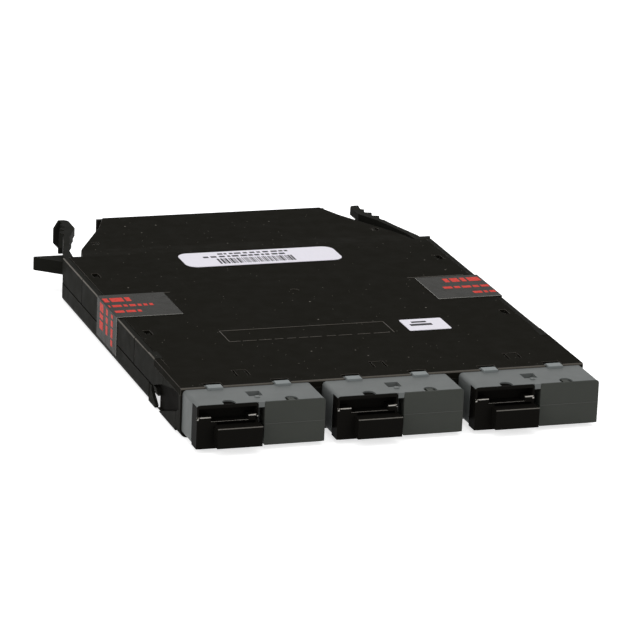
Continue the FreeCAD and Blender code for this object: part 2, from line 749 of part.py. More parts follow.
def thumb_pad_corners():
    """Saw-tooth edge of the thumb pad, from the neck to the arm's end."""
    corners = []
    palm = HALF + " - arm_palm_in_x"
    for tooth in range(3):
        back = "slot_floor + head_start + %d * tooth_pitch" % tooth
        across = "%s + pad_width + %d * pad_taper" % (palm, 2 - tooth)
        corners.append((across, back + " + tooth_gap"))
        corners.append((across + " + tooth_rise - pad_taper", back + " + tooth_pitch + tooth_gap / 2"))
    corners.append((palm + " + pad_width", "slot_floor + head_start + 3 * tooth_pitch + tooth_gap"))
    corners.append((palm + " + pad_width", "slot_floor + head_end"))
    corners.append((palm + " - part_gap", "slot_floor + head_end"))
    return corners


def make_rear_adapter():
    """Ribbon adapter in the rear wall, open at both ends, with ears behind the wall."""
    body = new_body("rear_adapter")
    top = "body_height - lid_thickness - part_gap"
    half = "ribbon_width / 2"
    pad(body, "shell", "XZ_Plane", "ribbon_front", "ribbon_end",
        rectangle("-" + half, half, "floor_thickness", top))
    wall_face = "tail_end - tail_wall - part_gap"
    pad(body, "ears", "XZ_Plane", wall_face + " - ribbon_ear_length", wall_face,
        rectangle("-(%s + ribbon_ear)" % half, half + " + ribbon_ear", "floor_thickness", top))
    hollow = rectangle("ribbon_wall - " + half, half + " - ribbon_wall", "floor_thickness + ribbon_wall",
                       top + " - ribbon_wall")
    middle = "(ribbon_front + ribbon_end) / 2"
    pocket(body, "front_hollow", "XZ_Plane", "ribbon_front - 1", middle + " - 0.5", hollow)
    pocket(body, "back_hollow", "XZ_Plane", middle + " + 0.5", "ribbon_end + 1", hollow)
    pocket(body, "mating_window", "XZ_Plane", middle + " - 1", middle + " + 1",
           rectangle("-3.5", "3.5", "port_axis - 1.5", "port_axis + 1.5"))
    place(body)
    return body


def make_rear_dust_cap():
    """Cap that plugs the rear adapter."""
    body = new_body("rear_dust_cap")
    half = "ribbon_width / 2 - ribbon_wall - closure_gap"
    low = "floor_thickness + ribbon_wall + closure_gap"
    high = "body_height - lid_thickness - part_gap - ribbon_wall - closure_gap"
    pad(body, "stem", "XZ_Plane", "ribbon_end - rear_plug_length", "ribbon_end + closure_gap + 0.5",
        rectangle("-(%s)" % half, half, low, high))
    pad(body, "grip", "XZ_Plane", "ribbon_end + closure_gap", "rear_cap_end",
        rectangle("-rear_cap_width / 2", "rear_cap_width / 2", "port_axis - rear_cap_height / 2",
                  "port_axis + rear_cap_height / 2"))
    place(body)
    return body


def make_film(label, x0, x1, y0, y1, radius):
    """Printed label on the lid, with rounded corners."""
    body = new_body(label)
    pad(body, "film", "XY_Plane", "body_height", "body_height + film_thickness", rectangle(x0, x1, y0, y1))
    round_edges(body, "corners", radius, lambda edge: along(edge, Vector(0, 0, 1)))
    place(body)
    return body


def make_seal(side):
    """Tape seal folded over the housing's edge."""
    word = "right" if side == 1 else "left"
    body = new_body("seal_" + word)
    face = "body_width / 2"
    skin = face + " + film_thickness"
    reach = face + " - seal_reach"
    fold = [(reach, "body_height"), (face, "body_height"), (face, "seal_base"), (skin, "seal_base"),
            (skin, "body_height + film_thickness"), (reach, "body_height + film_thickness")]
    pad(body, "tape", "XZ_Plane", "seal_front", "seal_front + seal_length", handed(side, fold))
    place(body)
    return body


def fibre_offsets():
    """Expressions for the four fibre positions of an adapter, left to right."""
    near = "port_offset - fibre_pitch / 2"
    far = "port_offset + fibre_pitch / 2"
    return ["-(%s)" % far, "-(%s)" % near, near, far]


def make_sleeves(column):
    """Four alignment sleeves in the adapter's partition."""
    label = "alignment_sleeves_" + NAMES[column]
    middle = "partition_front + partition_thickness / 2"
    start = middle + " - sleeve_length / 2"
    end = middle + " + sleeve_length / 2"
    tubes = []
    for i, offset in enumerate(fibre_offsets()):
        stem = "%s_%d" % (label, i)
        tube = doc.addObject("Part::Cut", stem)
        tube.Base = rod(stem + "_outside", offset, start, end, "port_axis", "sleeve_outer")
        tube.Tool = rod(stem + "_bore", offset, start + " - 1", end + " + 1", "port_axis", "sleeve_bore")
        tubes.append(tube)
    joined = gather("Part::Compound", label, tubes)
    place(joined, "%d * %s" % (column, PITCH))
    return joined


def make_connectors(column):
    """Four fibre connectors plugged into the back of an adapter."""
    label = "inner_connectors_" + NAMES[column]
    front = "partition_front + partition_thickness + sleeve_length"
    back = "adapter_back + plug_body"
    solids = []
    for i, offset in enumerate(fibre_offsets()):
        stem = "%s_%d" % (label, i)
        half = "plug_width / 2"
        block = box(stem + "_body", offset + " - " + half, offset + " + " + half, front, back,
                    "port_axis - plug_height / 2", "port_axis + plug_height / 2")
        tip = rod(stem + "_tip", offset, "partition_front + partition_thickness", front, "port_axis",
                  "tip_radius")
        boot = rod(stem + "_boot", offset, back, back + " + boot_length", "port_axis", "boot_radius")
        solids.append(gather("Part::MultiFuse", stem, [block, tip, boot]))
    joined = gather("Part::Compound", label, solids)
    place(joined, "%d * %s" % (column, PITCH))
    return joined


def s_bend(start, end, bend):
    """Path that leaves start along -Y and reaches end along -Y, through two arcs and a line."""
    across = end.x - start.x
    back = start.y - end.y
    turn = 1 if across > 0 else -1
    width = abs(across)
    radius = min(bend, (width ** 2 + back ** 2) / (4 * width))
    straight = math.sqrt(max(width ** 2 + back ** 2 - 4 * radius * width, 0))
    angle = 2 * math.atan2(width, back + straight)
    first = Vector(start.x + turn * radius, start.y, start.z)
    second = Vector(end.x - turn * radius, end.y, end.z)

    def on(centre, away, swing):
        return centre + Vector(away * turn * radius * math.cos(swing), away * -radius * math.sin(swing), 0)

    leave = on(first, -1, -angle)
    arrive = on(second, 1, -angle)
    edges = [Part.Arc(start, on(first, -1, -angle / 2), leave).toShape()]
    if straight > 0.01:
        edges.append(Part.LineSegment(leave, arrive).toShape())
    edges.append(Part.Arc(arrive, on(second, 1, -angle / 2), end).toShape())
    return Part.Wire(edges)


def tube_along(path, start, diameter):
    """Tube of TUBE_SIDES flat sides that follows a path leaving its start along -Y."""
    turn = 2 * math.pi / TUBE_SIDES
    corners = []
    for i in range(TUBE_SIDES + 1):
        corners.append(start + Vector(math.cos(i * turn), 0, math.sin(i * turn)) * (diameter / 2))
    tube = path.makePipeShell([Part.makePolygon(corners)], True, False)
    solid = Part.makeSolid(tube) if tube.ShapeType != "Solid" else tube
    section = TUBE_SIDES * math.sin(turn) * diameter ** 2 / 8
    if abs(abs(solid.Volume) - section * path.Length) > VOLUME_SLACK * abs(solid.Volume):
        raise RuntimeError("a tube's volume is not its section times its length")
    return solid


def make_fibre_legs():
    """Jacketed legs from the fan-out block to each splitter."""
    height = size("port_axis")
    solids = []
    for column in (-1, 0, 1):
        start = Vector(column * size("leg_spacing"), size("fanout_front"), height)
        end = Vector(column * size(PITCH), size("splitter_back"), height)
        if column == 0:
            path = Part.Wire([Part.LineSegment(start, end).toShape()])
        else:
            path = s_bend(start, end, size("leg_bend"))
        solids.append(tube_along(path, start, size("leg_diameter")))
    return feature_of("fibre_legs", solids)


def make_fibres(column):
    """Four bare fibres from a splitter to the connectors of one adapter."""
    height = size("port_axis")
    solids = []
    for i, offset in enumerate(fibre_offsets()):
        start = Vector((i - 1.5) * size("fibre_spacing"), size("splitter_front"), height)
        end = Vector(size(offset), size("adapter_back + plug_body + boot_length"), height)
        path = s_bend(start, end, math.inf)
        solids.append(tube_along(path, start, size("fibre_diameter")))
    return feature_of("fibres_" + NAMES[column], solids, "%d * %s" % (column, PITCH))


def feature_of(label, solids, x="0"):
    """Object that holds finished solids."""
    feature = doc.addObject("Part::Feature", label)
    feature.Shape = Part.Compound(solids)
    place(feature, x)
    return feature


def make_splitter(column):
    """Small block where a leg's jacket ends and its four fibres part."""
    label = "splitter_" + NAMES[column]
    half = "splitter_width / 2"
    block = box(label, "-" + half, half, "splitter_front", "splitter_back", "floor_thickness",
                "port_axis + leg_diameter")
    block.setExpression("Placement.Base.x", bound("%d * %s - %s" % (column, PITCH, half)))
    block.setExpression("Placement.Base.y", bound("splitter_front + " + shift()))
    return block


def make_fanout_block():
    """Block where the ribbon divides into three legs."""
    half = "fanout_width / 2"
    block = box("fanout_block", "-" + half, half, "fanout_front", "fanout_back", "floor_thickness",
                "floor_thickness + fanout_height")
    block.setExpression("Placement.Base.y", bound("fanout_front + " + shift()))
    return block


def make_ribbon_connector():
    """Multi-fibre connector plugged into the front of the rear adapter, with its boot."""
    half = "ribbon_width / 2 - ribbon_wall - closure_gap"
    low = "floor_thickness + ribbon_wall + closure_gap"
    high = "body_height - lid_thickness - part_gap - ribbon_wall - closure_gap"
    middle = "(ribbon_front + ribbon_end) / 2 - 0.5 - closure_gap"
    block = box("ribbon_connector_body", "-(%s)" % half, half, "ribbon_plug_back", middle, low, high)
    boot = rod("ribbon_connector_boot", "0", "ribbon_plug_back - ribbon_boot", "ribbon_plug_back",
               "port_axis", "boot_radius")
    lead = rod("ribbon_connector_lead", "0", "fanout_back", "ribbon_plug_back - ribbon_boot", "port_axis",
               "leg_diameter / 2")
    joined = gather("Part::MultiFuse", "ribbon_connector", [block, boot, lead])
    place(joined)
    return joined


def build():
    """Make every sub-part, in the order in which the cassette is assembled."""
    fill_sheet()
    parts = [make_base_tray()]
    parts.append(make_top_cover())
    for column in (-1, 0, 1):
        parts.append(make_adapter(column))
        parts.append(make_dust_cap(column))
        parts.append(make_port_blank(column))
        parts.append(make_sleeves(column))
        parts.append(make_connectors(column))
        parts.append(make_splitter(column))
        parts.append(make_fibres(column))
    parts += [make_release_arm(-1), make_release_arm(1)]
    parts += [make_rear_adapter(), make_rear_dust_cap(), make_ribbon_connector(), make_fanout_block()]
    parts.append(make_fibre_legs())
    parts.append(make_film("long_label", "-long_label_width / 2", "long_label_width / 2", "long_label_front",
                           "long_label_front + long_label_length", "long_label_round"))
    parts.append(make_film("short_label", "short_label_left", "short_label_left + short_label_width",
                           "short_label_front", "short_label_front + short_label_length",
                           "short_label_round"))
    parts += [make_seal(-1), make_seal(1)]
    doc.recompute()
    return parts


def check(parts):
    """Stop if a feature failed or a sub-part has no valid shape."""
    for item in doc.Objects:
        if "Invalid" in item.State or "Error" in item.State:
            raise RuntimeError("%s failed: %s" % (item.Label, item.State))
    for part in parts:
        if part.Shape.isNull() or not part.Shape.isValid() or not part.Shape.Solids:
            raise RuntimeError("%s has no valid shape" % part.Label)


def write(parts):
    """Write one file for each sub-part."""
    os.makedirs("parts", exist_ok=True)
    for part in parts:
        part.Shape.exportStep("parts/%s.step" % part.Label)
        print("%-28s %d solid(s) %10.2f mm3" % (part.Label, len(part.Shape.Solids), part.Shape.Volume))


finished = build()
check(finished)
write(finished)
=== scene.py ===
"""Looks of a flat fibre cassette: rounded mouldings, printed labels, tape seals, floor, light and camera."""

import logging
import math
import random
from collections.abc import Callable
from dataclasses import dataclass
from enum import Enum

import bmesh
import bpy
from mathutils import Matrix, Vector

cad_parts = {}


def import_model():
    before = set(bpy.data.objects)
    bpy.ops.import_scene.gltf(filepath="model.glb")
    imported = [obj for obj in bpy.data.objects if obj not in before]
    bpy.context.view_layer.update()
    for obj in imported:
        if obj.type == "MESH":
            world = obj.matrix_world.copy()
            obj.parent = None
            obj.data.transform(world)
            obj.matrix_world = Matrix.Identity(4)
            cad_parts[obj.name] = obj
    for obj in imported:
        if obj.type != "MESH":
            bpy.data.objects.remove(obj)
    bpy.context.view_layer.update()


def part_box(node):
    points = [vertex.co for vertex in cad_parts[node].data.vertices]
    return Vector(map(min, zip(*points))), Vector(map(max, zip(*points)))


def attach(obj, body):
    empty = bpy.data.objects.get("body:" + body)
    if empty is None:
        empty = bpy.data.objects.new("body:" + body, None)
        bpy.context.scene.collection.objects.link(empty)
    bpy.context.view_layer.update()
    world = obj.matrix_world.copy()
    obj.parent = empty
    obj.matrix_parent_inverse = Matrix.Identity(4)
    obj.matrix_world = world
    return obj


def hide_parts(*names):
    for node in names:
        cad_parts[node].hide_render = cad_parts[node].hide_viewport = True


LOG = logging.getLogger("fibre_cassette")
MM = 0.001
NEAR = 0.01 * MM
HOUSING = "housing"

Span = tuple[float, float]
Block = tuple[Span, Span, Span]
Outline = tuple[Span, ...]
Colour = tuple[float, float, float, float]
Socket = bpy.types.NodeSocket
Solid = bpy.types.Object


class Side(Enum):
    """The cassette's two long sides, with the sign of their X."""

    LEFT = -1
    RIGHT = 1

    @property
    def word(self) -> str:
        """Name of the side as the nodes spell it."""
        return self.name.lower()

    def span(self, inner: float, outer: float, middle: float = 0.0) -> Span:
        """Places along X of two distances from a middle, on this side."""
        return middle + self.value * inner, middle + self.value * outer


class Column(Enum):
    """The three adapters, from left to right."""

    LEFT = "left"
    CENTRE = "centre"
    RIGHT = "right"


class Axis(Enum):
    """Axes that a prism can run along."""

    X = 0
    Z = 2


def linear(red: float, green: float, blue: float) -> Colour:
    """Turn a display colour into the linear colour that shaders take.

    Args:
        red: Red from 0 to 255.
        green: Green from 0 to 255.
        blue: Blue from 0 to 255.

    Returns:
        Linear red, green, blue and an alpha of 1.
    """
    channels = []
    for value in (red / 255, green / 255, blue / 255):
        channels.append(value / 12.92 if value <= 0.04045 else ((value + 0.055) / 1.055) ** 2.4)
    return (*channels, 1.0)


def shaded(colour: Colour, share: float) -> Colour:
    """Scale a linear colour and keep its alpha.

    Args:
        colour: Linear red, green, blue and alpha.
        share: Factor for red, green and blue.

    Returns:
        The scaled colour.
    """
    red, green, blue, alpha = colour
    return share * red, share * green, share * blue, alpha


def broken_line(
    start: float, end: float, draw_bar: Callable[[], float], draw_gap: Callable[[], float], spare: float = 0.0
) -> list[Span]:
    """Lay bars of drawn lengths one after another along a line.

    Args:
        start: Where the first bar starts.
        end: Where the last bar ends at most.
        draw_bar: Gives the length of the next bar, in millimetres.
        draw_gap: Gives the gap after it, in millimetres.
        spare: Distance before the end in which no bar starts.

    Returns:
        Both ends of each bar.
    """
    bars = []
    while start < end - spare:
        length = draw_bar() * MM
        bars.append((start, min(start + length, end)))
        start += length + draw_gap() * MM
    return bars


class NodeBench:
    """A node tree while it is put together."""

    def __init__(self, tree: bpy.types.NodeTree) -> None:
        """Clear a node tree and start on it.

        Args:
            tree: Node tree to fill.
        """
        self.tree = tree
        tree.nodes.clear()

    def add(self, kind: str, **settings: object) -> bpy.types.Node:
        """Add a node and set its properties.

        Args:
            kind: Type name of the node.
            **settings: Properties of the node.

        Returns:
            The new node.
        """
        node = self.tree.nodes.new(kind)
        for name, value in settings.items():
            setattr(node, name, value)
        return node

    def join(self, start: Socket, end: Socket) -> None:
        """Link an output to an input."""
        self.tree.links.new(start, end)

    def combine(self, operation: str, first: Socket, second: Socket) -> Socket:
        """Combine two values by arithmetic.

        Args:
            operation: Name of the operation.
            first: First value.
            second: Second value.

        Returns:
            The result.
        """
        node = self.add("ShaderNodeMath", operation=operation)
        self.join(first, node.inputs[0])
        self.join(second, node.inputs[1])
        return node.outputs["Value"]

    def seen_directly(self) -> Socket:
        """Tell what is seen directly, in a reflection or through glass from what only gives light.

        Returns:
            1 for rays of the camera and for reflected or transmitted ones, and 0 for others.
        """
        path = self.add("ShaderNodeLightPath")
        total = path.outputs["Is Camera Ray"]
        for name in ("Is Glossy Ray", "Is Transmission Ray"):
            total = self.combine("MAXIMUM", total, path.outputs[name])
        return total


class ShaderBench(NodeBench):
    """A material's node tree while a finish is put together."""

    def __init__(self, name: str) -> None:
        """Start a material with one principled surface.

        Args:
            name: Name of the material.
        """
        self.material = bpy.data.materials.new(name)
        self.material.use_nodes = True
        super().__init__(self.material.node_tree)
        self.surface = self.add("ShaderNodeBsdfPrincipled")
        self.output = self.add("ShaderNodeOutputMaterial")
        self.join(self.surface.outputs["BSDF"], self.output.inputs["Surface"])
        self.place = self.add("ShaderNodeTexCoord").outputs["Object"]

    def set(self, **values: object) -> None:
        """Set constants on the surface's own sockets, with underscores for spaces in their names."""
        for name, value in values.items():
            self.surface.inputs[name.replace("_", " ")].default_value = value

    def coat(self, tone: Socket, rough: Socket, **values: object) -> bpy.types.Material:
        """Give the surface its colour, its roughness and its constants.

        Args:
            tone: Colour of the surface.
            rough: Roughness of the surface.
            **values: Constants, named as in set.

        Returns:
            The finished material.
        """
        self.join(tone, self.surface.inputs["Base Color"])
        self.join(rough, self.surface.inputs["Roughness"])
        self.set(**values)
        return self.material

    def stretched(self, scale: tuple[float, float, float]) -> Socket:
        """Object coordinates scaled unevenly, for marks that run one way.

        Args:
            scale: Factor along each axis.

        Returns:
            The scaled coordinates.
        """
        mapping = self.add("ShaderNodeMapping")
        mapping.inputs["Scale"].default_value = scale
        self.join(self.place, mapping.inputs["Vector"])
        return mapping.outputs["Vector"]

    def noise(self, size: float, detail: float = 2.0, place: Socket | None = None) -> Socket:
        """Soft noise on object coordinates.

        Args:
            size: Width of one blot, in metres.
            detail: Octaves of finer noise.
            place: Coordinates to use in place of the object's own.

        Returns:
            The noise, from 0 to 1.
        """
        noise = self.add("ShaderNodeTexNoise")
        noise.inputs["Scale"].default_value = 1 / size
        noise.inputs["Detail"].default_value = detail
        self.join(place or self.place, noise.inputs["Vector"])
        return noise.outputs["Fac"]

    def remap(self, value: Socket, low: float, high: float, to_low: float, to_high: float) -> Socket:
        """Stretch a range of values to another range, clamped at its ends.

        Args:
            value: Values to remap.
            low: Value that gives to_low.
            high: Value that gives to_high.
            to_low: First end of the new range.
            to_high: Other end of the new range.

        Returns:
            The remapped values.
        """
        node = self.add("ShaderNodeMapRange", clamp=True)
        for name, number in (("From Min", low), ("From Max", high), ("To Min", to_low), ("To Max", to_high)):
            node.inputs[name].default_value = number
        self.join(value, node.inputs["Value"])
        return node.outputs["Result"]

    def blend(self, share: Socket, first: Colour | Socket, second: Colour | Socket) -> Socket:
        """Mix two colours.

        Args:
            share: How much of the second colour there is.
            first: Colour or socket at share 0.
            second: Colour or socket at share 1.

        Returns:
            The mixed colour.
        """
        node = self.add("ShaderNodeMix", data_type="RGBA")
        self.join(share, node.inputs["Factor"])
        for index, colour in ((6, first), (7, second)):
            if isinstance(colour, Socket):
                self.join(colour, node.inputs[index])
            else:
                node.inputs[index].default_value = colour
        return node.outputs[2]

    def specks(self, spacing: float, radius: float, share: float) -> Socket:
        """Scattered dust grains.

        Args:
            spacing: Mean distance between possible grains, in metres.
            radius: Radius of a grain, in metres.
            share: Share of the possible grains that are there.

        Returns:
            1 on a grain and 0 off it.
        """
        cells = self.add("ShaderNodeTexVoronoi", feature="F1")
        cells.inputs["Scale"].default_value = 1 / spacing
        self.join(self.place, cells.inputs["Vector"])
        grain = self.remap(cells.outputs["Distance"], radius / spacing, 0.4 * radius / spacing, 0, 1)
        kept = self.remap(cells.outputs["Color"], share, share + 0.01, 1, 0)
        return self.combine("MULTIPLY", grain, kept)

    def bump(self, height: Socket, depth: float) -> None:
        """Raise the surface by a height map.

        Args:
            height: Heights from 0 to 1.
            depth: Relief at height 1, in metres.
        """
        node = self.add("ShaderNodeBump")
        node.inputs["Strength"].default_value = 1.0
        node.inputs["Distance"].default_value = depth
        self.join(height, node.inputs["Height"])
        self.join(node.outputs["Normal"], self.surface.inputs["Normal"])


@dataclass(frozen=True)
class Finish:
    """A finish with one main colour.

    Attributes:
        name: Name of the material.
        colour: Main colour as display red, green and blue.
    """

    name: str
    colour: tuple[float, float, float]


@dataclass(frozen=True)
class MouldedPlastic(Finish):
    """Injection-moulded plastic with a fine spark-eroded grain, drift in its tone, and dust.

    Attributes:
        roughness: Mean roughness.
        specular: Specular level of the surface.
        grain: Width of the grain, in metres.
        relief: Depth of the grain, in metres.
        drift: Share by which the tone wanders.
        dust: Share of possible dust grains that are there.
        scuffs: Strength of faint rubbed streaks.
        dust_colour: Colour of the dust.
        scuff_colour: Colour of the streaks.
    """

    roughness: float
    specular: float
    grain: float = 0.25 * MM
    relief: float = 0.004 * MM
    drift: float = 0.12
    dust: float = 0.0
    scuffs: float = 0.0
    dust_colour: tuple[float, float, float] = (138, 134, 126)
    scuff_colour: tuple[float, float, float] = (96, 94, 88)

    def make(self) -> bpy.types.Material:
        """Build the material.

        Returns:
            The material.
        """
        bench = ShaderBench(self.name)
        base = linear(*self.colour)
        clouds = bench.noise(14 * MM, 4.0)
        tone = bench.blend(clouds, shaded(base, 1 - self.drift), shaded(base, 1 + self.drift))
        rough = bench.remap(bench.noise(3 * MM, 3.0), 0.3, 0.7, self.roughness - 0.06, self.roughness + 0.06)
        if self.scuffs:
            streaks = bench.noise(1.2 * MM, 3.0, bench.stretched((1.0, 0.06, 1.0)))
            rubbed = bench.remap(streaks, 0.62, 0.8, 0, self.scuffs)
            tone = bench.blend(rubbed, tone, linear(*self.scuff_colour))
        if self.dust:
            fine = bench.specks(1.5 * MM, 0.11 * MM, self.dust)
            coarse = bench.specks(4.0 * MM, 0.22 * MM, self.dust)
            tone = bench.blend(bench.combine("MAXIMUM", fine, coarse), tone, linear(*self.dust_colour))
        bench.bump(bench.noise(self.grain, 3.0), self.relief)
        return bench.coat(tone, rough, Specular_IOR_Level=self.specular)


@dataclass(frozen=True)
class TapeFilm(Finish):
    """Smoky plastic tape with shallow ripples and a little dust."""

    def make(self) -> bpy.types.Material:
        """Build the material.

        Returns:
            The material.
        """
        bench = ShaderBench(self.name)
        base = linear(*self.colour)
        tone = bench.blend(bench.noise(5 * MM, 3.0), shaded(base, 0.8), base)
        dusted = bench.blend(bench.specks(2.5 * MM, 0.14 * MM, 0.3), tone, linear(200, 200, 196))
        rough = bench.remap(bench.noise(2 * MM, 2.0), 0.3, 0.7, 0.22, 0.34)
        bench.bump(bench.noise(3.5 * MM, 1.0), 0.01 * MM)
        return bench.coat(dusted, rough, Specular_IOR_Level=0.02)


@dataclass(frozen=True)
class Paper(Finish):
    """Coated label paper with a faint fibre texture."""

    def make(self) -> bpy.types.Material:
        """Build the material.

        Returns:
            The material.
        """
        bench = ShaderBench(self.name)
        base = linear(*self.colour)
        fibres = bench.noise(0.5 * MM, 4.0, bench.stretched((1.0, 0.35, 1.0)))
        tone = bench.blend(fibres, shaded(base, 0.93), base)
        bench.bump(fibres, 0.006 * MM)
        return bench.coat(tone, bench.remap(fibres, 0.3, 0.7, 0.5, 0.62), Specular_IOR_Level=0.3)


@dataclass(frozen=True)
class Ink(Finish):
    """Printed ink, a little uneven in its cover.

    Attributes:
        thin: Colour where the cover is thin.
    """

    thin: tuple[float, float, float]

    def make(self) -> bpy.types.Material:
        """Build the material.

        Returns:
            The material.
        """
        bench = ShaderBench(self.name)
        cover = bench.remap(bench.noise(0.6 * MM, 4.0), 0.55, 0.8, 0, 1)
        tone = bench.blend(cover, linear(*self.colour), linear(*self.thin))
        return bench.coat(tone, bench.remap(cover, 0, 1, 0.35, 0.5), Specular_IOR_Level=0.03)


@dataclass(frozen=True)
class Ceramic(Finish):
    """Polished ceramic of the alignment sleeves."""

    def make(self) -> bpy.types.Material:
        """Build the material.

        Returns:
            The material.
        """
        bench = ShaderBench(self.name)
        base = linear(*self.colour)
        tone = bench.blend(bench.noise(1.5 * MM, 3.0), shaded(base, 0.88), base)
        return bench.coat(tone, bench.remap(bench.noise(0.4 * MM), 0.3, 0.7, 0.12, 0.22), Coat_Weight=0.4)


def pick_nothing() -> None:
    """Leave edit mode and deselect everything."""
    if bpy.context.object and bpy.context.object.mode != "OBJECT":
        bpy.ops.object.mode_set(mode="OBJECT")
    bpy.ops.object.select_all(action="DESELECT")


def work_on(piece: Solid) -> None:
    """Select one piece alone and make it active.

    Args:
        piece: Piece to work on.
    """
    pick_nothing()
    piece.select_set(True)
    bpy.context.view_layer.objects.active = piece


def use_modifier(piece: Solid, kind: str, **settings: object) -> None:
    """Add a modifier and apply it.

    Args:
        piece: Object that gets the modifier.
        kind: Type name of the modifier.
        **settings: Properties of the modifier.
    """
    work_on(piece)
    bpy.ops.object.modifier_add(type=kind)
    modifier = piece.modifiers[-1]
    for name, value in settings.items():
        setattr(modifier, name, value)
    bpy.ops.object.modifier_apply(modifier=modifier.name)


def dress(piece: Solid, *materials: bpy.types.Material) -> None:
    """Give a piece its materials in place of those that it has.

    Args:
        piece: Piece to dress.
        *materials: Its materials, the first one for its faces.
    """
    piece.data.materials.clear()
    for material in materials:
        piece.data.materials.append(material)


def soften(piece: Solid, edge: float, segments: int = 2, angle: float = 25.0, rim: int = -1) -> None:
    """Round the sharp edges of a piece and shade it smooth.

    Args:
        piece: Piece to soften.
        edge: Width of the rounding, in metres.
        segments: Faces across the rounding.
        angle: Smallest turn of an edge that is rounded, in degrees.
        rim: Index of the material of the rounding, where the callers put a painted highlight, or -1 to keep
            the faces' own.
    """
    use_modifier(
        piece,
        "BEVEL",
        width=edge,
        segments=segments,
        limit_method="ANGLE",
        angle_limit=math.radians(angle),
        material=rim,
        miter_outer="MITER_ARC",
    )
    work_on(piece)
    bpy.ops.object.shade_smooth_by_angle(angle=math.radians(40))
    use_modifier(piece, "WEIGHTED_NORMAL", weight=60, keep_sharp=True)


def carve(piece: Solid, *cutters: Solid) -> None:
    """Cut the volume of each cutter out of a piece and drop the cutters.

    Args:
        piece: Piece to cut.
        *cutters: Solids to cut with.
    """
    for cutter in cutters:
        use_modifier(piece, "BOOLEAN", object=cutter, operation="DIFFERENCE", solver="EXACT")
        bpy.data.objects.remove(cutter, do_unlink=True)


def weld(piece: Solid, *extras: Solid) -> None:
    """Make extras one solid with a piece.

    Args:
        piece: Piece that takes them up.
        *extras: Solids to add to it.
    """
    for extra in extras:
        use_modifier(piece, "BOOLEAN", object=extra, operation="UNION", solver="EXACT")
        bpy.data.objects.remove(extra, do_unlink=True)


def add_block(spans: Block) -> None:
    """Add a block as an object of its own, or in edit mode to the mesh at hand.

    Args:
        spans: Its two ends along X, along Y and along Z, in either order.
    """
    low = Vector([min(ends) for ends in spans])
    high = Vector([max(ends) for ends in spans])
    bpy.ops.mesh.primitive_cube_add(size=1, location=(low + high) / 2, scale=high - low)


def just_added(name: str) -> Solid:
    """Name the object that was just added, and its mesh.

    Args:
        name: Name for both.

    Returns:
        The object.
    """
    piece = bpy.context.object
    piece.name = name
    piece.data.name = name
    return piece


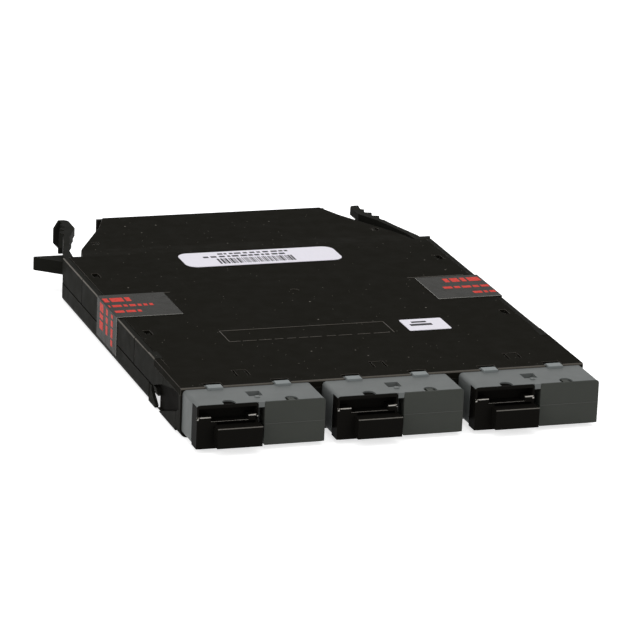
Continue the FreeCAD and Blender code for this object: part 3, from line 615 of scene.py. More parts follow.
class Piece:
    """Ways to start and finish one visible piece."""

    @staticmethod
    def from_node(node: str, name: str) -> Solid:
        """Copy a CAD node's mesh, with its triangles merged into whole faces.

        Args:
            node: Name of the node.
            name: Name of the new piece.

        Returns:
            The new piece, which stands for the node.
        """
        piece = bpy.data.objects.new(name, bpy.data.objects[node].data.copy())
        bpy.context.scene.collection.objects.link(piece)
        work_on(piece)
        bpy.ops.object.mode_set(mode="EDIT")
        bpy.ops.mesh.select_all(action="SELECT")
        bpy.ops.mesh.remove_doubles(threshold=0.002 * MM)
        bpy.ops.mesh.customdata_custom_splitnormals_clear()
        bpy.ops.mesh.dissolve_limited(angle_limit=math.radians(0.5))
        bpy.ops.object.mode_set(mode="OBJECT")
        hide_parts(node)
        return piece

    @staticmethod
    def block(name: str, *spans: Span) -> Solid:
        """Start a piece as a block.

        Args:
            name: Name of the piece.
            *spans: Its two ends along X, along Y and along Z, in either order.

        Returns:
            The block, with its place in its mesh.
        """
        pick_nothing()
        add_block(spans)
        piece = just_added(name)
        bpy.ops.object.transform_apply(location=True, rotation=True, scale=True)
        return piece

    @staticmethod
    def bars(name: str, blocks: list[Block]) -> Solid:
        """Make one piece of many separate printed bars or ribs.

        Args:
            name: Name of the piece.
            blocks: The spans of each bar along X, Y and Z.

        Returns:
            The piece.
        """
        piece = Piece.block(name, *blocks[0])
        bpy.ops.object.mode_set(mode="EDIT")
        for spans in blocks[1:]:
            add_block(spans)
        bpy.ops.object.mode_set(mode="OBJECT")
        return piece

    @staticmethod
    def prism(name: str, outline: Outline, ends: Span, along: Axis) -> Solid:
        """Start a piece as a flat outline that runs between two places along an axis.

        Args:
            name: Name of the piece.
            outline: Corners in millimetres along the other two axes, in their order.
            ends: Both ends of the run, in metres.
            along: Axis of the run.

        Returns:
            The prism.
        """
        pick_nothing()
        bpy.ops.mesh.primitive_circle_add(vertices=len(outline), fill_type="NGON")
        piece = just_added(name)
        run = along.value
        for vertex, corner in zip(piece.data.vertices, outline):
            spot = [value * MM for value in corner]
            spot.insert(run, ends[0])
            vertex.co = Vector(spot)
        step = [0.0, 0.0, 0.0]
        step[run] = ends[1] - ends[0]
        bpy.ops.object.mode_set(mode="EDIT")
        bpy.ops.mesh.select_all(action="SELECT")
        bpy.ops.mesh.extrude_region_move(TRANSFORM_OT_translate={"value": step})
        bpy.ops.mesh.select_all(action="SELECT")
        bpy.ops.mesh.normals_make_consistent(inside=False)
        bpy.ops.object.mode_set(mode="OBJECT")
        return piece

    @staticmethod
    def round_along(
        piece: Solid,
        test: Callable[[list[Vector]], bool],
        radius: float,
        segments: int = 4,
        rim: int = -1,
    ) -> None:
        """Round the edges of a piece that pass a test.

        Args:
            piece: Piece to shape.
            test: Tells from the places of an edge's two ends whether it is rounded.
            radius: Radius of the rounding, in metres.
            segments: Faces across the rounding.
            rim: Index of the material of the rounding, where the callers put a painted highlight, or -1 to
                keep the faces' own.
        """
        work_on(piece)
        bpy.ops.object.mode_set(mode="EDIT")
        bpy.ops.mesh.select_mode(type="EDGE")
        bpy.ops.mesh.select_all(action="DESELECT")
        mesh = bmesh.from_edit_mesh(piece.data)
        for edge in mesh.edges:
            edge.select_set(test([vertex.co for vertex in edge.verts]))
        bmesh.update_edit_mesh(piece.data)
        bpy.ops.mesh.bevel(offset=radius, segments=segments, affect="EDGES", material=rim)
        bpy.ops.object.mode_set(mode="OBJECT")

    @staticmethod
    def finish(piece: Solid, body: str, slot: str, edge: float = 0.0, **easing: float) -> None:
        """Ease a piece's edges, let it ride on its body and report it.

        Args:
            piece: Finished piece.
            body: Body that it moves with.
            slot: Not used.
            edge: Width of the easing, in metres, or 0 for none.
            **easing: Other settings of soften.
        """
        if edge:
            soften(piece, edge, **easing)
        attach(piece, body)
        LOG.info("%s: %d faces on %s", piece.name, len(piece.data.polygons), body)


class Workshop:
    """All finishes, each made once, among them lighter copies that paint highlights and a darker one that
    paints shade.
    """

    def __init__(self) -> None:
        """Make the materials."""
        self.cover = MouldedPlastic(
            "cover_plastic", (25, 24, 20), 0.5, 0.002, dust=0.5, scuffs=0.01, drift=0.05
        ).make()
        # Lighter copy of the lid plastic: painted highlight on the lid's rounded edges and raised lines.
        self.cover_rim = MouldedPlastic("cover_rim", (84, 80, 74), 0.35, 0.05, drift=0.3).make()
        self.tray = MouldedPlastic("tray_plastic", (31, 31, 28), 0.42, 0.003, dust=0.12).make()
        # Lighter copy of the tray plastic: painted highlight on the rounded edges of tray, hooks, arms and
        # ribbon adapter.
        self.tray_rim = MouldedPlastic("tray_rim", (96, 92, 85), 0.35, 0.03, drift=0.3).make()
        # Darker copy of the tray plastic: painted shade on the inner faces of the latch recesses.
        self.recess = MouldedPlastic("recess_plastic", (17, 16, 14), 0.5, 0.004).make()
        self.adapter = MouldedPlastic("adapter_plastic", (108, 111, 110), 0.42, 0.04, dust=0.03).make()
        # Lighter copy of the adapter plastic: painted highlight on the adapters' eased edges.
        self.adapter_rim = MouldedPlastic("adapter_rim", (122, 125, 124), 0.35, 0.1).make()
        # Lighter copy of the adapter plastic: painted light on the tabs.
        self.adapter_tab = MouldedPlastic("adapter_tab", (132, 137, 137), 0.35, 0.02).make()
        self.cap = MouldedPlastic("cap_gloss", (22, 21, 19), 0.14, 0.003, relief=0.001 * MM, dust=0.05).make()
        # Lighter copies of the cap plastic: painted highlight on the caps' rounded edges, and painted glints
        # on their ledges.
        self.cap_rim = MouldedPlastic("cap_rim", (92, 89, 83), 0.14, 0.2, relief=0.001 * MM).make()
        self.cap_glint = MouldedPlastic("cap_glint", (176, 172, 164), 0.14, 0.6, relief=0.001 * MM).make()
        self.blank = MouldedPlastic(
            "blank_plastic", (65, 67, 63), 0.55, 0.06, grain=0.18 * MM, dust=0.04
        ).make()
        # Lighter copy of the blank plastic: painted highlight on the blanks' eased edges and parting lines.
        self.blank_rim = MouldedPlastic("blank_rim", (74, 75, 72), 0.45, 0.1).make()
        self.film = TapeFilm("seal_film", (44, 43, 39)).make()
        # Near-white colour for the seal film's eased edges: painted highlight.
        self.film_painted_highlight = MouldedPlastic("film_cut_edge", (176, 174, 168), 0.3, 0.5).make()
        self.paper = Paper("label_paper", (236, 233, 242)).make()
        self.black_ink = Ink("black_ink", (34, 32, 36), (92, 90, 96)).make()
        self.red_ink = Ink("red_ink", (206, 48, 34), (150, 44, 36)).make()
        self.ceramic = Ceramic("sleeve_ceramic", (232, 230, 222)).make()
        self.connector = MouldedPlastic("connector_plastic", (46, 50, 56), 0.35, 0.04).make()
        self.fanout = MouldedPlastic("fanout_plastic", (52, 52, 54), 0.5, 0.3).make()
        self.jacket = MouldedPlastic("fibre_jacket", (70, 176, 190), 0.45, 0.35, grain=0.1 * MM).make()


@dataclass
class SubAssembly:
    """Pieces that are made and dressed together.

    Attributes:
        shop: Finishes to dress them with.
    """

    shop: Workshop


@dataclass
class Housing(SubAssembly):
    """Tray, lid, snap hooks and the raised lines on the lid.

    Outlines give the place along Y and the height of each corner, plans the distance from the
    middle and the place along Y, both in millimetres. Other sizes are in metres.

    Attributes:
        edge: Rounding of the outside edges.
        wall_inside: Distance from the middle beyond which the side wall lies.
        seam_place: Distance from the middle to the seam between lid and wall.
        rim_drop: Step from the top of the lid down to the top of the wall.
        rim_lift: How far the top of the wall is raised.
        rim_band: Height of the band in which the wall's upper edge is rounded.
        rim_round: Rounding of that edge.
        lid_margin: How far within wall_inside the lid's side face may lie.
        clip_rise: Height over the lid of the wall's highest stretch, near the latch.
        front_round: Rounding of the lid's front edge.
        recess_depth: Depth of the latch recess.
        recess: Outline of the latch recess.
        sill_depth: Thickness of the recess's sill.
        sill: Outline of the sill.
        tongue_faces: Depths of a latch tongue's inner and outer face in the wall.
        tongues: Outlines of the two latch tongues.
        slot_roof: Top of the slot behind a rail's front end.
        slot: Plan of that slot.
        taper_roof: Top of the cut that tapers a rail's rear end.
        taper: Plan of that cut.
        rise: Outline of the cut under a rail's rear end.
        hook_width: Size of a snap hook along the side.
        hook_depth: Half of its size across the side.
        hook_ends: Depths of its foot and its top below the lid's top.
        hook_round: Rounding of its outer upper edge.
        hook_edge: Rounding of its other edges.
        snaps: Distance from the middle and place along Y of each window in the lid.
        line_width: Width of the raised lines.
        line_root: Depth of their foot in the lid.
        line_rise: Height of the raised lines.
        line_edge: Rounding of their edges.
        line_rest: Distance before a line's end in which no dash starts.
        plate: Left, right, front and back of the nameplate outline.
        index_line: Inner end, outer end and place of the line beside the right seal.
        index_step: How much nearer the front the left one lies.
    """

    edge: float = 0.16 * MM
    wall_inside: float = 39.65 * MM
    seam_place: float = 40.15 * MM
    rim_drop: float = 0.7 * MM
    rim_lift: float = 0.55 * MM
    rim_band: float = 0.3 * MM
    rim_round: float = 0.2 * MM
    lid_margin: float = 0.2 * MM
    clip_rise: float = 0.05 * MM
    front_round: float = 0.3 * MM
    recess_depth: float = 0.9 * MM
    recess: Outline = (
        (-37.3, 4.5), (-44.0, 6.8), (-54.9, 9.0), (-55.4, 5.4), (-53.9, 4.6), (-42.0, 0.6), (-39.9, 0.6)
    )
    sill_depth: float = 1.2 * MM
    sill: Outline = ((-42.0, 0.6), (-53.6, 4.5), (-53.6, 0.6))
    tongue_faces: Span = (0.75 * MM, 0.1 * MM)
    tongues: tuple[Outline, ...] = (
        ((-34.4, 0.3), (-34.4, 4.0), (-36.2, 4.0), (-36.3, 2.9), (-39.5, 0.9), (-39.0, 0.3)),
        ((-39.4, 4.55), (-37.2, 4.55), (-38.9, 3.4), (-41.0, 3.4)),
    )
    slot_roof: float = 3.4 * MM
    slot: Outline = ((40.8, -39.8), (40.8, -34.9), (36.6, -23.2), (36.6, -39.8))
    taper_roof: float = 4.6 * MM
    taper: Outline = ((41.55, 32.4), (42.5, 32.4), (42.5, 37.5), (39.9, 37.5))
    rise: Outline = ((26.0, -1.0), (26.0, 0.0), (32.0, 0.8), (37.5, 2.7), (37.5, -1.0))
    hook_width: float = 1.3 * MM
    hook_depth: float = 0.55 * MM
    hook_ends: Span = (2.4 * MM, 0.35 * MM)
    hook_round: float = 0.6 * MM
    hook_edge: float = 0.08 * MM
    snaps: Outline = ((38.1 * MM, -21.35 * MM), (38.1 * MM, 18.25 * MM), (31.7 * MM, 42.15 * MM))
    line_width: float = 0.14 * MM
    line_root: float = 0.1 * MM
    line_rise: float = 0.05 * MM
    line_edge: float = 0.03 * MM
    line_rest: float = 2 * MM
    plate: tuple[float, float, float, float] = (-23.7 * MM, 11.0 * MM, -30.15 * MM, -23.1 * MM)
    index_line: tuple[float, float, float] = (26.2 * MM, 38.7 * MM, 4.9 * MM)
    index_step: float = 0.7 * MM

    def build(self) -> None:
        """Make every piece of the housing."""
        self.build_tray()
        self.build_lid()
        self.add_snap_hooks()
        self.add_raised_lines()

    def build_tray(self) -> None:
        """Raise the tray's rim, cut its corners and ease its edges, with a painted highlight on the rounded
        edges and painted shade in the latch recesses.
        """
        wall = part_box("base_tray")[1].x
        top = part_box("top_cover")[1].z
        shelf = top - self.rim_drop
        tray = Piece.from_node("base_tray", "tray")
        for vertex in tray.data.vertices:
            if abs(vertex.co.x) > self.wall_inside and vertex.co.z > shelf + NEAR:
                vertex.co.z = top + self.clip_rise
            elif abs(vertex.co.x) > self.wall_inside and vertex.co.z > shelf - NEAR:
                vertex.co.z += self.rim_lift
        # The second material paints a highlight on the rounded edges, the third paints shade in the latch
        # recesses.
        dress(tray, self.shop.tray, self.shop.tray_rim, self.shop.recess)
        for side in Side:
            self.open_corner(tray, side, wall)
        Piece.round_along(
            tray,
            lambda ends: all(abs(end.x) > wall - NEAR and end.z > top - self.rim_band for end in ends)
            and abs(ends[0].y - ends[1].y) > MM,
            self.rim_round,
            rim=1,
        )
        Piece.finish(tray, HOUSING, "housing_plastic", self.edge, rim=1)

    def build_lid(self) -> None:
        """Widen the lid to its seam, round its front edge and ease the others, with a painted highlight on
        the rounded edges.
        """
        low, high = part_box("top_cover")
        lid = Piece.from_node("top_cover", "lid")
        for vertex in lid.data.vertices:
            if abs(vertex.co.x) > self.wall_inside - self.lid_margin:
                if vertex.co.z > high.z - self.rim_drop - NEAR:
                    vertex.co.z = high.z
                if abs(vertex.co.x) < self.wall_inside + NEAR:
                    vertex.co.x = math.copysign(self.seam_place, vertex.co.x)
        # The second material paints a highlight on the rounded edges.
        dress(lid, self.shop.cover, self.shop.cover_rim)
        Piece.round_along(
            lid,
            lambda ends: all(end.y < low.y + NEAR and end.z > high.z - NEAR for end in ends),
            self.front_round,
            rim=1,
        )
        Piece.finish(lid, HOUSING, "housing_plastic", self.edge, rim=1)

    def open_corner(self, tray: Solid, side: Side, wall: float) -> None:
        """Shape one side: latch recess with painted shade on its inner face, slot behind the rail's front
        end, and the rail's rear end.

        Args:
            tray: Tray to cut.
            side: Side that is cut.
            wall: Distance from the middle to the outer face of the side wall.
        """
        floor = wall - self.recess_depth
        carve(tray, Piece.prism("recess_cutter", self.recess, side.span(floor, wall + MM), Axis.X))
        # Faces at the inner face of the recess get the third material, painted shade.
        for face in tray.data.polygons:
            in_recess = face.center.y < self.recess[0][0] * MM and self.sill[0][1] * MM < face.center.z
            if in_recess and abs(abs(face.center.x) - floor) < 2 * NEAR:
                face.material_index = 2
        reach = side.span(wall - self.sill_depth, wall)
        weld(tray, Piece.prism("sill_" + side.word, self.sill, reach, Axis.X))
        for name, roof, plan in (("slot", self.slot_roof, self.slot), ("taper", self.taper_roof, self.taper)):
            corners = [(side.value * across, back) for across, back in plan]
            carve(tray, Piece.prism(name + "_cutter", corners, (-MM, roof), Axis.Z))
        carve(tray, Piece.prism("rise_cutter", self.rise, side.span(wall - 2 * NEAR, wall + 3 * MM), Axis.X))
        inner, outer = self.tongue_faces
        for number, corners in enumerate(self.tongues, start=1):
            name = "tongue_%s_%d" % (side.word, number)
            weld(tray, Piece.prism(name, corners, side.span(wall - inner, wall - outer), Axis.X))

    def add_snap_hooks(self) -> None:
        """Put a small hook from the tray into each window of the lid, with a painted highlight on its eased
        edges.
        """
        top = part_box("top_cover")[1].z
        foot, crest = (top - depth for depth in self.hook_ends)
        for side in Side:
            for number, (across, back) in enumerate(self.snaps, start=1):
                x = side.value * across
                hook = Piece.block(
                    "snap_hook_%s_%d" % (side.word, number),
                    (x - self.hook_depth, x + self.hook_depth),
                    (back - self.hook_width / 2, back + self.hook_width / 2),
                    (foot, crest),
                )
                Piece.round_along(
                    hook,
                    lambda ends: all(side.value * (end.x - x) > 0 and end.z > crest - NEAR for end in ends),
                    self.hook_round,
                    segments=2,
                )
                # The eased edges take the painted highlight.
                dress(hook, self.shop.tray, self.shop.tray_rim)
                Piece.finish(hook, HOUSING, "housing_plastic", self.hook_edge, rim=1)

    def add_raised_lines(self) -> None:
        """Raise the nameplate's outline, which stays bare inside, and the lines that place the seals,
        coloured as a painted highlight.
        """
        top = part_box("top_cover")[1].z
        left, right, front, back = self.plate
        half = self.line_width / 2
        heights = (top - self.line_root, top + self.line_rise)

        def rib(x0: float, x1: float, y0: float, y1: float) -> Block:
            """Spans of a rib whose middle line runs between two ends."""
            return (x0 - half, x1 + half), (y0 - half, y1 + half), heights

        ribs = [rib(left, right, back, back), rib(left, left, front, back), rib(right, right, front, back)]
        draw = random.Random(7).uniform
        dashes = broken_line(left, right, lambda: draw(1.6, 3.4), lambda: draw(0.5, 1.3), self.line_rest)
        for start, end in dashes:
            ribs.append(rib(start, end, front, front))
        inner, outer, place = self.index_line
        ribs.append(rib(inner, outer, place, place))
        ribs.append(rib(-outer, -inner, place - self.index_step, place - self.index_step))
        lines = Piece.bars("raised_lines", ribs)
        # The raised lines are coloured as a painted highlight.
        dress(lines, self.shop.cover_rim)
        Piece.finish(lines, HOUSING, "housing_plastic", self.line_edge, segments=1)


@dataclass
class PortRow(SubAssembly):
    """Three adapters with a gloss cap and a matt blank each.

    Attributes:
        adapter_edge: Rounding of the adapters' edges.
        closure_edge: Rounding of the closures' edges.
        ledge_round: Rounding of a cap's ledges and of its top edge.
        lip_round: Rounding of the upper corners of a closure's lip.
        offset: Distance of a port from the middle of its adapter.
        outer: Distance from a port to the flush outer side of its closure.
        inner: Distance from a port to the inner side of its closure.
        lip: Depth of a closure's lip over the front of the hood.
        web: Half of the width that the adapter's front keeps between the lips of its closures.
        cheek: Width that is cut off the outer side of the hood.
        cheek_depth: Front to back of that cut.
        cheek_base: Bottom of that cut.
        roof: Height of the underside of the hood.
        crown: Height of the closures' top edge at the front.
        tabs: Middle of each tab from the middle of its adapter.
        tab_half: Half of a tab's width.
        tab_reach: Reach of a tab before and behind the front edge of the lid.
        tab_rise: Height of a tab over the adapter, and its depth in it.
        tab_edge: Rounding of the tabs' edges.
        flush_reach: Width at a closure's outer side that is moved out flush.
        ledges: Heights between which a cap's ledges and its sill lie.
        frame_base: Bottom of a cap's frame.
        frame_depth: Front to back of the frame.
        frame_hollow: Front to back of the hollow in it.
        frame_wall: Thickness of its sides.
        frame_roof: Thickness of its top below the hood.
        blank_base: Bottom of a blank's lip.
        parting: Lower and upper edge of a blank's parting line.
        parting_rise: Height of that line over the front face.
    """

    adapter_edge: float = 0.22 * MM
    closure_edge: float = 0.16 * MM
    ledge_round: float = 0.16 * MM
    lip_round: float = 0.5 * MM
    offset: float = 6.25 * MM
    outer: float = 6.6 * MM
    inner: float = 5.6 * MM
    lip: float = 0.25 * MM
    web: float = 0.62 * MM
    cheek: float = 0.5 * MM
    cheek_depth: float = 3.2 * MM
    cheek_base: float = 7.2 * MM
    roof: float = 9.25 * MM
    crown: float = 9.6 * MM
    tabs: Span = (-6.6 * MM, 7.1 * MM)
    tab_half: float = 1.5 * MM
    tab_reach: Span = (1.1 * MM, 0.9 * MM)
    tab_rise: float = 0.3 * MM
    tab_edge: float = 0.1 * MM
    flush_reach: float = 0.5 * MM
    ledges: Span = (6.2 * MM, 7.5 * MM)
    frame_base: float = 6.9 * MM
    frame_depth: float = 3.0 * MM
    frame_hollow: float = 2.6 * MM
    frame_wall: float = 0.35 * MM
    frame_roof: float = 0.3 * MM
    blank_base: float = 8.8 * MM
    parting: Span = (5.12 * MM, 5.28 * MM)
    parting_rise: float = 0.09 * MM

    def build(self) -> None:
        """Make the three adapters and their closures."""
        for column in Column:
            low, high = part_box("front_adapter_" + column.value)
            middle = (low.x + high.x) / 2
            self.build_adapter(column, middle, low.y, high.x - middle)
            self.add_tabs(column, middle, high.z)
            self.build_cap(column, middle - self.offset, low.y)
            self.build_blank(column, middle + self.offset, low.y)

    def build_adapter(self, column: Column, middle: float, front: float, half: float) -> None:
        """Make an adapter with an open-sided hood and a painted highlight on its eased edges.

        Args:
            column: Which of the adapters.
            middle: Its middle along X.
            front: Its front face.
            half: Half of its width.
        """
        adapter = Piece.from_node("front_adapter_" + column.value, "adapter_" + column.value)
        # The eased edges take the painted highlight.
        dress(adapter, self.shop.adapter, self.shop.adapter_rim)
        for side in Side:
            cheek = Piece.block(
                "cheek_cutter",
                side.span(half - self.cheek, half + MM, middle),
                (front - MM, front + self.cheek_depth),
                (self.cheek_base, self.roof),
            )
            lip = Piece.block(
                "lip_cutter",
                side.span(self.web, half + MM, middle),
                (front - MM, front + self.lip + 0.03 * MM),
                (self.roof - 0.1 * MM, self.crown + MM),
            )
            carve(adapter, cheek, lip)
        Piece.finish(adapter, HOUSING, "adapter_grey", self.adapter_edge, rim=1)

    def add_tabs(self, column: Column, middle: float, top: float) -> None:
        """Put two raised tabs on an adapter at the front edge of the lid, in a lighter grey that paints the
        light on them.

        Args:
            column: Which of the adapters.
            middle: Its middle along X.
            top: Its upper face.
        """
        lid_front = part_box("top_cover")[0].y
        before, behind = self.tab_reach
        for number, place in enumerate(self.tabs, start=1):
            tab = Piece.block(
                "adapter_tab_%s_%d" % (column.value, number),
                (middle + place - self.tab_half, middle + place + self.tab_half),
                (lid_front - before, lid_front + behind),
                (top - self.tab_rise, top + self.tab_rise),
            )
            # The tabs are painted lighter than the adapter, as painted light.
            dress(tab, self.shop.adapter_tab)
            Piece.finish(tab, HOUSING, "adapter_grey", self.tab_edge)

    def build_cap(self, column: Column, port: float, front: float) -> None:
        """Make a gloss cap with a thin frame round its recessed face, with painted glints on its ledges and a
        painted highlight on its other rounded edges.

        Args:
            column: Which of the adapters.
            port: Middle of its port along X.
            front: Front face of the adapter.
        """
        left = port - self.outer
        right = port + self.inner
        node = "dust_cap_" + column.value
        cap = Piece.from_node(node, "cap_" + column.value)
        for vertex in cap.data.vertices:
            if vertex.co.x < left + self.flush_reach:
                vertex.co.x = left
        frame = self.lip_block("frame", (left, right), front, self.frame_base)
        sides = Piece.block(
            "frame_sides",
            (left, right),
            (front + 0.1 * MM, front + self.frame_depth),
            (self.frame_base, self.roof - 0.05 * MM),
        )
        weld(frame, sides)
        hollow = Piece.block(
            "frame_cutter",
            (left + self.frame_wall, right - self.frame_wall),
            (front - MM, front + self.frame_hollow),
            (5 * MM, self.roof - self.frame_roof),
        )
        carve(frame, hollow)
        weld(cap, frame)
        # The second material paints a highlight on the rounded edges, the third a glint on the ledges.
        dress(cap, self.shop.cap, self.shop.cap_rim, self.shop.cap_glint)
        Piece.round_along(cap, lambda ends: self.is_ledge(ends, front), self.ledge_round, rim=2)
        nose = min(v.co.y for v in cap.data.vertices) + 2 * NEAR
        brow = max(v.co.z for v in cap.data.vertices if v.co.y < nose) - 2 * NEAR
        Piece.round_along(
            cap, lambda ends: all(end.y < nose and end.z > brow for end in ends), self.ledge_round, rim=1
        )
        Piece.finish(cap, node, "cap_plastic", self.closure_edge, rim=1)

    def is_ledge(self, ends: list[Vector], front: float) -> bool:
        """Tell whether an edge is the front edge of one of a cap's ledges or of its sill.

        Args:
            ends: Places of the edge's two ends.
            front: Front face of the adapter.

        Returns:
            True if it is.
        """
        level = abs(ends[0].z - ends[1].z) < NEAR
        on_face = all(abs(end.y - front) < 2 * NEAR for end in ends)
        return level and on_face and self.ledges[0] < ends[0].z < self.ledges[1]

    def build_blank(self, column: Column, port: float, front: float) -> None:
        """Make a matt blank with rounded upper corners and a raised parting line, with a painted highlight on
        its eased edges and on the line.

        Args:
            column: Which of the adapters.
            port: Middle of its port along X.
            front: Front face of the adapter.
        """
        left = port - self.inner
        right = port + self.outer
        node = "port_blank_" + column.value
        blank = Piece.from_node(node, "blank_" + column.value)
        for vertex in blank.data.vertices:
            if vertex.co.x > right - self.flush_reach:
                vertex.co.x = right
        weld(blank, self.lip_block("lip", (left, right), front, self.blank_base))
        # The eased edges take the painted highlight.
        dress(blank, self.shop.blank, self.shop.blank_rim)
        Piece.finish(blank, node, "blank_plastic", self.closure_edge, angle=3.0, rim=1)
        line = Piece.block(
            "parting_line_" + column.value,
            (left + 0.1 * MM, right - 0.1 * MM),
            (front - self.parting_rise, front + 0.05 * MM),
            self.parting,
        )
        # The parting line is coloured as a painted highlight.
        dress(line, self.shop.blank_rim)
        Piece.finish(line, node, "blank_plastic")

    def lip_block(self, name: str, across: Span, front: float, base: float) -> Solid:
        """Block in front of the hood, with rounded upper corners.

        Args:
            name: Name of the block.
            across: Its left and right side.
            front: Its front face.
            base: Its lower face.

        Returns:
            The block.
        """
        block = Piece.block(name, across, (front, front + self.lip), (base, self.crown))
        Piece.round_along(
            block,
            lambda ends: all(end.z > self.crown - NEAR for end in ends) and abs(ends[0].x - ends[1].x) < NEAR,
            self.lip_round,
        )
        return block


@dataclass
class ReleaseArms(SubAssembly):
    """The two sprung arms at the rear corners.

    Attributes:
        edge: Rounding of the arms' edges.
        blade_shoulder: Distance of the blade's top corner from the middle.
        bends: Place along Y, distance from the middle and outward shift of each corner that thins the
            neck, in millimetres.
        bend_reach: Distance within which a vertex belongs to such a corner.
        head_steps: Outer side and top of each step under the head, in millimetres.
        head_inside: Inner end of those steps, as a distance from the middle.
        head_run: Front and back end of those steps.
        head_foot: Bottom of those steps.
        head_round: Rounding of the head's inner corners.
        round_within: Distance from the middle within which those corners lie.
        round_behind: Place along Y behind which they lie.
    """

    edge: float = 0.14 * MM
    blade_shoulder: float = 34.75 * MM
    bends: tuple[tuple[float, float, float], ...] = (
        (38.6, 40.0, -0.1),
        (43.5, 39.1, -0.57),
        (46.3, 38.5, -0.8),
        (50.35, 37.6, -0.8),
        (50.4, 34.4, 0.85),
    )
    bend_reach: float = 0.3 * MM
    head_steps: Outline = ((33.5, 7.4), (34.25, 6.7))
    head_inside: float = 31.5 * MM
    head_run: Span = (50.8 * MM, 64 * MM)
    head_foot: float = 5 * MM
    head_round: float = 1.3 * MM
    round_within: float = 32.8 * MM
    round_behind: float = 55 * MM

    def build(self) -> None:
        """Shape, ease and dress both arms, with a painted highlight on the eased edges."""
        for side in Side:
            arm = Piece.from_node("release_arm_" + side.word, "arm_" + side.word)
            self.bend(arm, side)
            for across, up in self.head_steps:
                reach = side.span(across * MM, self.head_inside)
                carve(arm, Piece.block("head_cutter", reach, self.head_run, (self.head_foot, up * MM)))
            Piece.round_along(
                arm,
                lambda ends: abs(ends[0].z - ends[1].z) > MM
                and all(abs(end.x) < self.round_within and end.y > self.round_behind for end in ends),
                self.head_round,
            )
            # The eased edges take the painted highlight.
            dress(arm, self.shop.tray, self.shop.tray_rim)
            Piece.finish(arm, "release_arm_" + side.word, "housing_plastic", self.edge, rim=1)

    def bend(self, arm: Solid, side: Side) -> None:
        """Slope the shoulder of an arm's blade and thin its neck.

        Args:
            arm: Arm to shape.
            side: Side of the cassette that it is on.
        """
        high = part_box("release_arm_" + side.word)[1]
        for vertex in arm.data.vertices:
            at_blade = vertex.co.y > high.y - 0.9 * MM and vertex.co.z > high.z - 0.3 * MM
            if at_blade and abs(vertex.co.x) > self.blade_shoulder:
                vertex.co.x = side.value * self.blade_shoulder
            for back, across, shift in self.bends:
                at_back = abs(vertex.co.y - back * MM) < self.bend_reach
                if at_back and abs(abs(vertex.co.x) - across * MM) < self.bend_reach:
                    vertex.co.x += side.value * shift * MM


@dataclass
class RearPort(SubAssembly):
    """Ribbon adapter and its cap at the back.

    Attributes:
        edge: Rounding of their edges.
    """

    edge: float = 0.2 * MM

    def build(self) -> None:
        """Ease the adapter and its cap, with a painted highlight on their eased edges."""
        adapter = Piece.from_node("rear_adapter", "ribbon_adapter")
        # The eased edges take the painted highlight.
        dress(adapter, self.shop.tray, self.shop.tray_rim)
        Piece.finish(adapter, HOUSING, "adapter_black", self.edge, rim=1)
        cap = Piece.from_node("rear_dust_cap", "ribbon_cap")
        # The eased edges take the painted highlight.
        dress(cap, self.shop.cap, self.shop.cap_rim)
        Piece.finish(cap, "rear_dust_cap", "cap_plastic", self.edge, segments=3, rim=1)


@dataclass
class Interior(SubAssembly):
    """Sealed pieces inside, which keep their CAD meshes."""

    def build(self) -> None:
        """Give each inner node its own finish."""
        shop = self.shop
        finishes = {
            "alignment_sleeves_": shop.ceramic,
            "inner_connectors_": shop.connector,
            "splitter_": shop.fanout,
            "fibres_": shop.jacket,
        }
        for stem, material in finishes.items():
            for column in Column:
                self.paint(stem + column.value, material)
        self.paint("ribbon_connector", shop.connector)
        self.paint("fanout_block", shop.fanout)
        self.paint("fibre_legs", shop.jacket)

    @staticmethod
    def paint(node: str, material: bpy.types.Material) -> None:
        """Assign a material to all of a node's slots.

        Args:
            node: Name of the node.
            material: Material that it gets.
        """
        for slot in bpy.data.objects[node].material_slots:
            slot.material = material
        LOG.info("%s: dressed as it is", node)


@dataclass
class Printing(SubAssembly):
    """Sub-assembly with plain bars of ink on its sheets.

    Attributes:
        edge: Rounding of the sheets' edges.
        ink_rise: Thickness of the ink.
        ink_root: Depth of its foot in the sheet.
    """

    edge: float = 0.03 * MM
    ink_rise: float = 0.015 * MM
    ink_root: float = 0.02 * MM

    def layer(self, face: float) -> Span:
        """Foot and top of ink that lies on a sheet's face."""
        return face - self.ink_root, face + self.ink_rise

    @staticmethod
    def print_bars(name: str, bars: list[Block], ink: bpy.types.Material, slot: str) -> None:
        """Make bars of ink into one piece.

        Args:
            name: Name of the printed piece.
            bars: Spans of each bar along X, Y and Z.
            ink: Finish of the bars.
            slot: Passed on to Piece.finish.
        """
        printed = Piece.bars(name, bars)
        dress(printed, ink)
        Piece.finish(printed, HOUSING, slot)


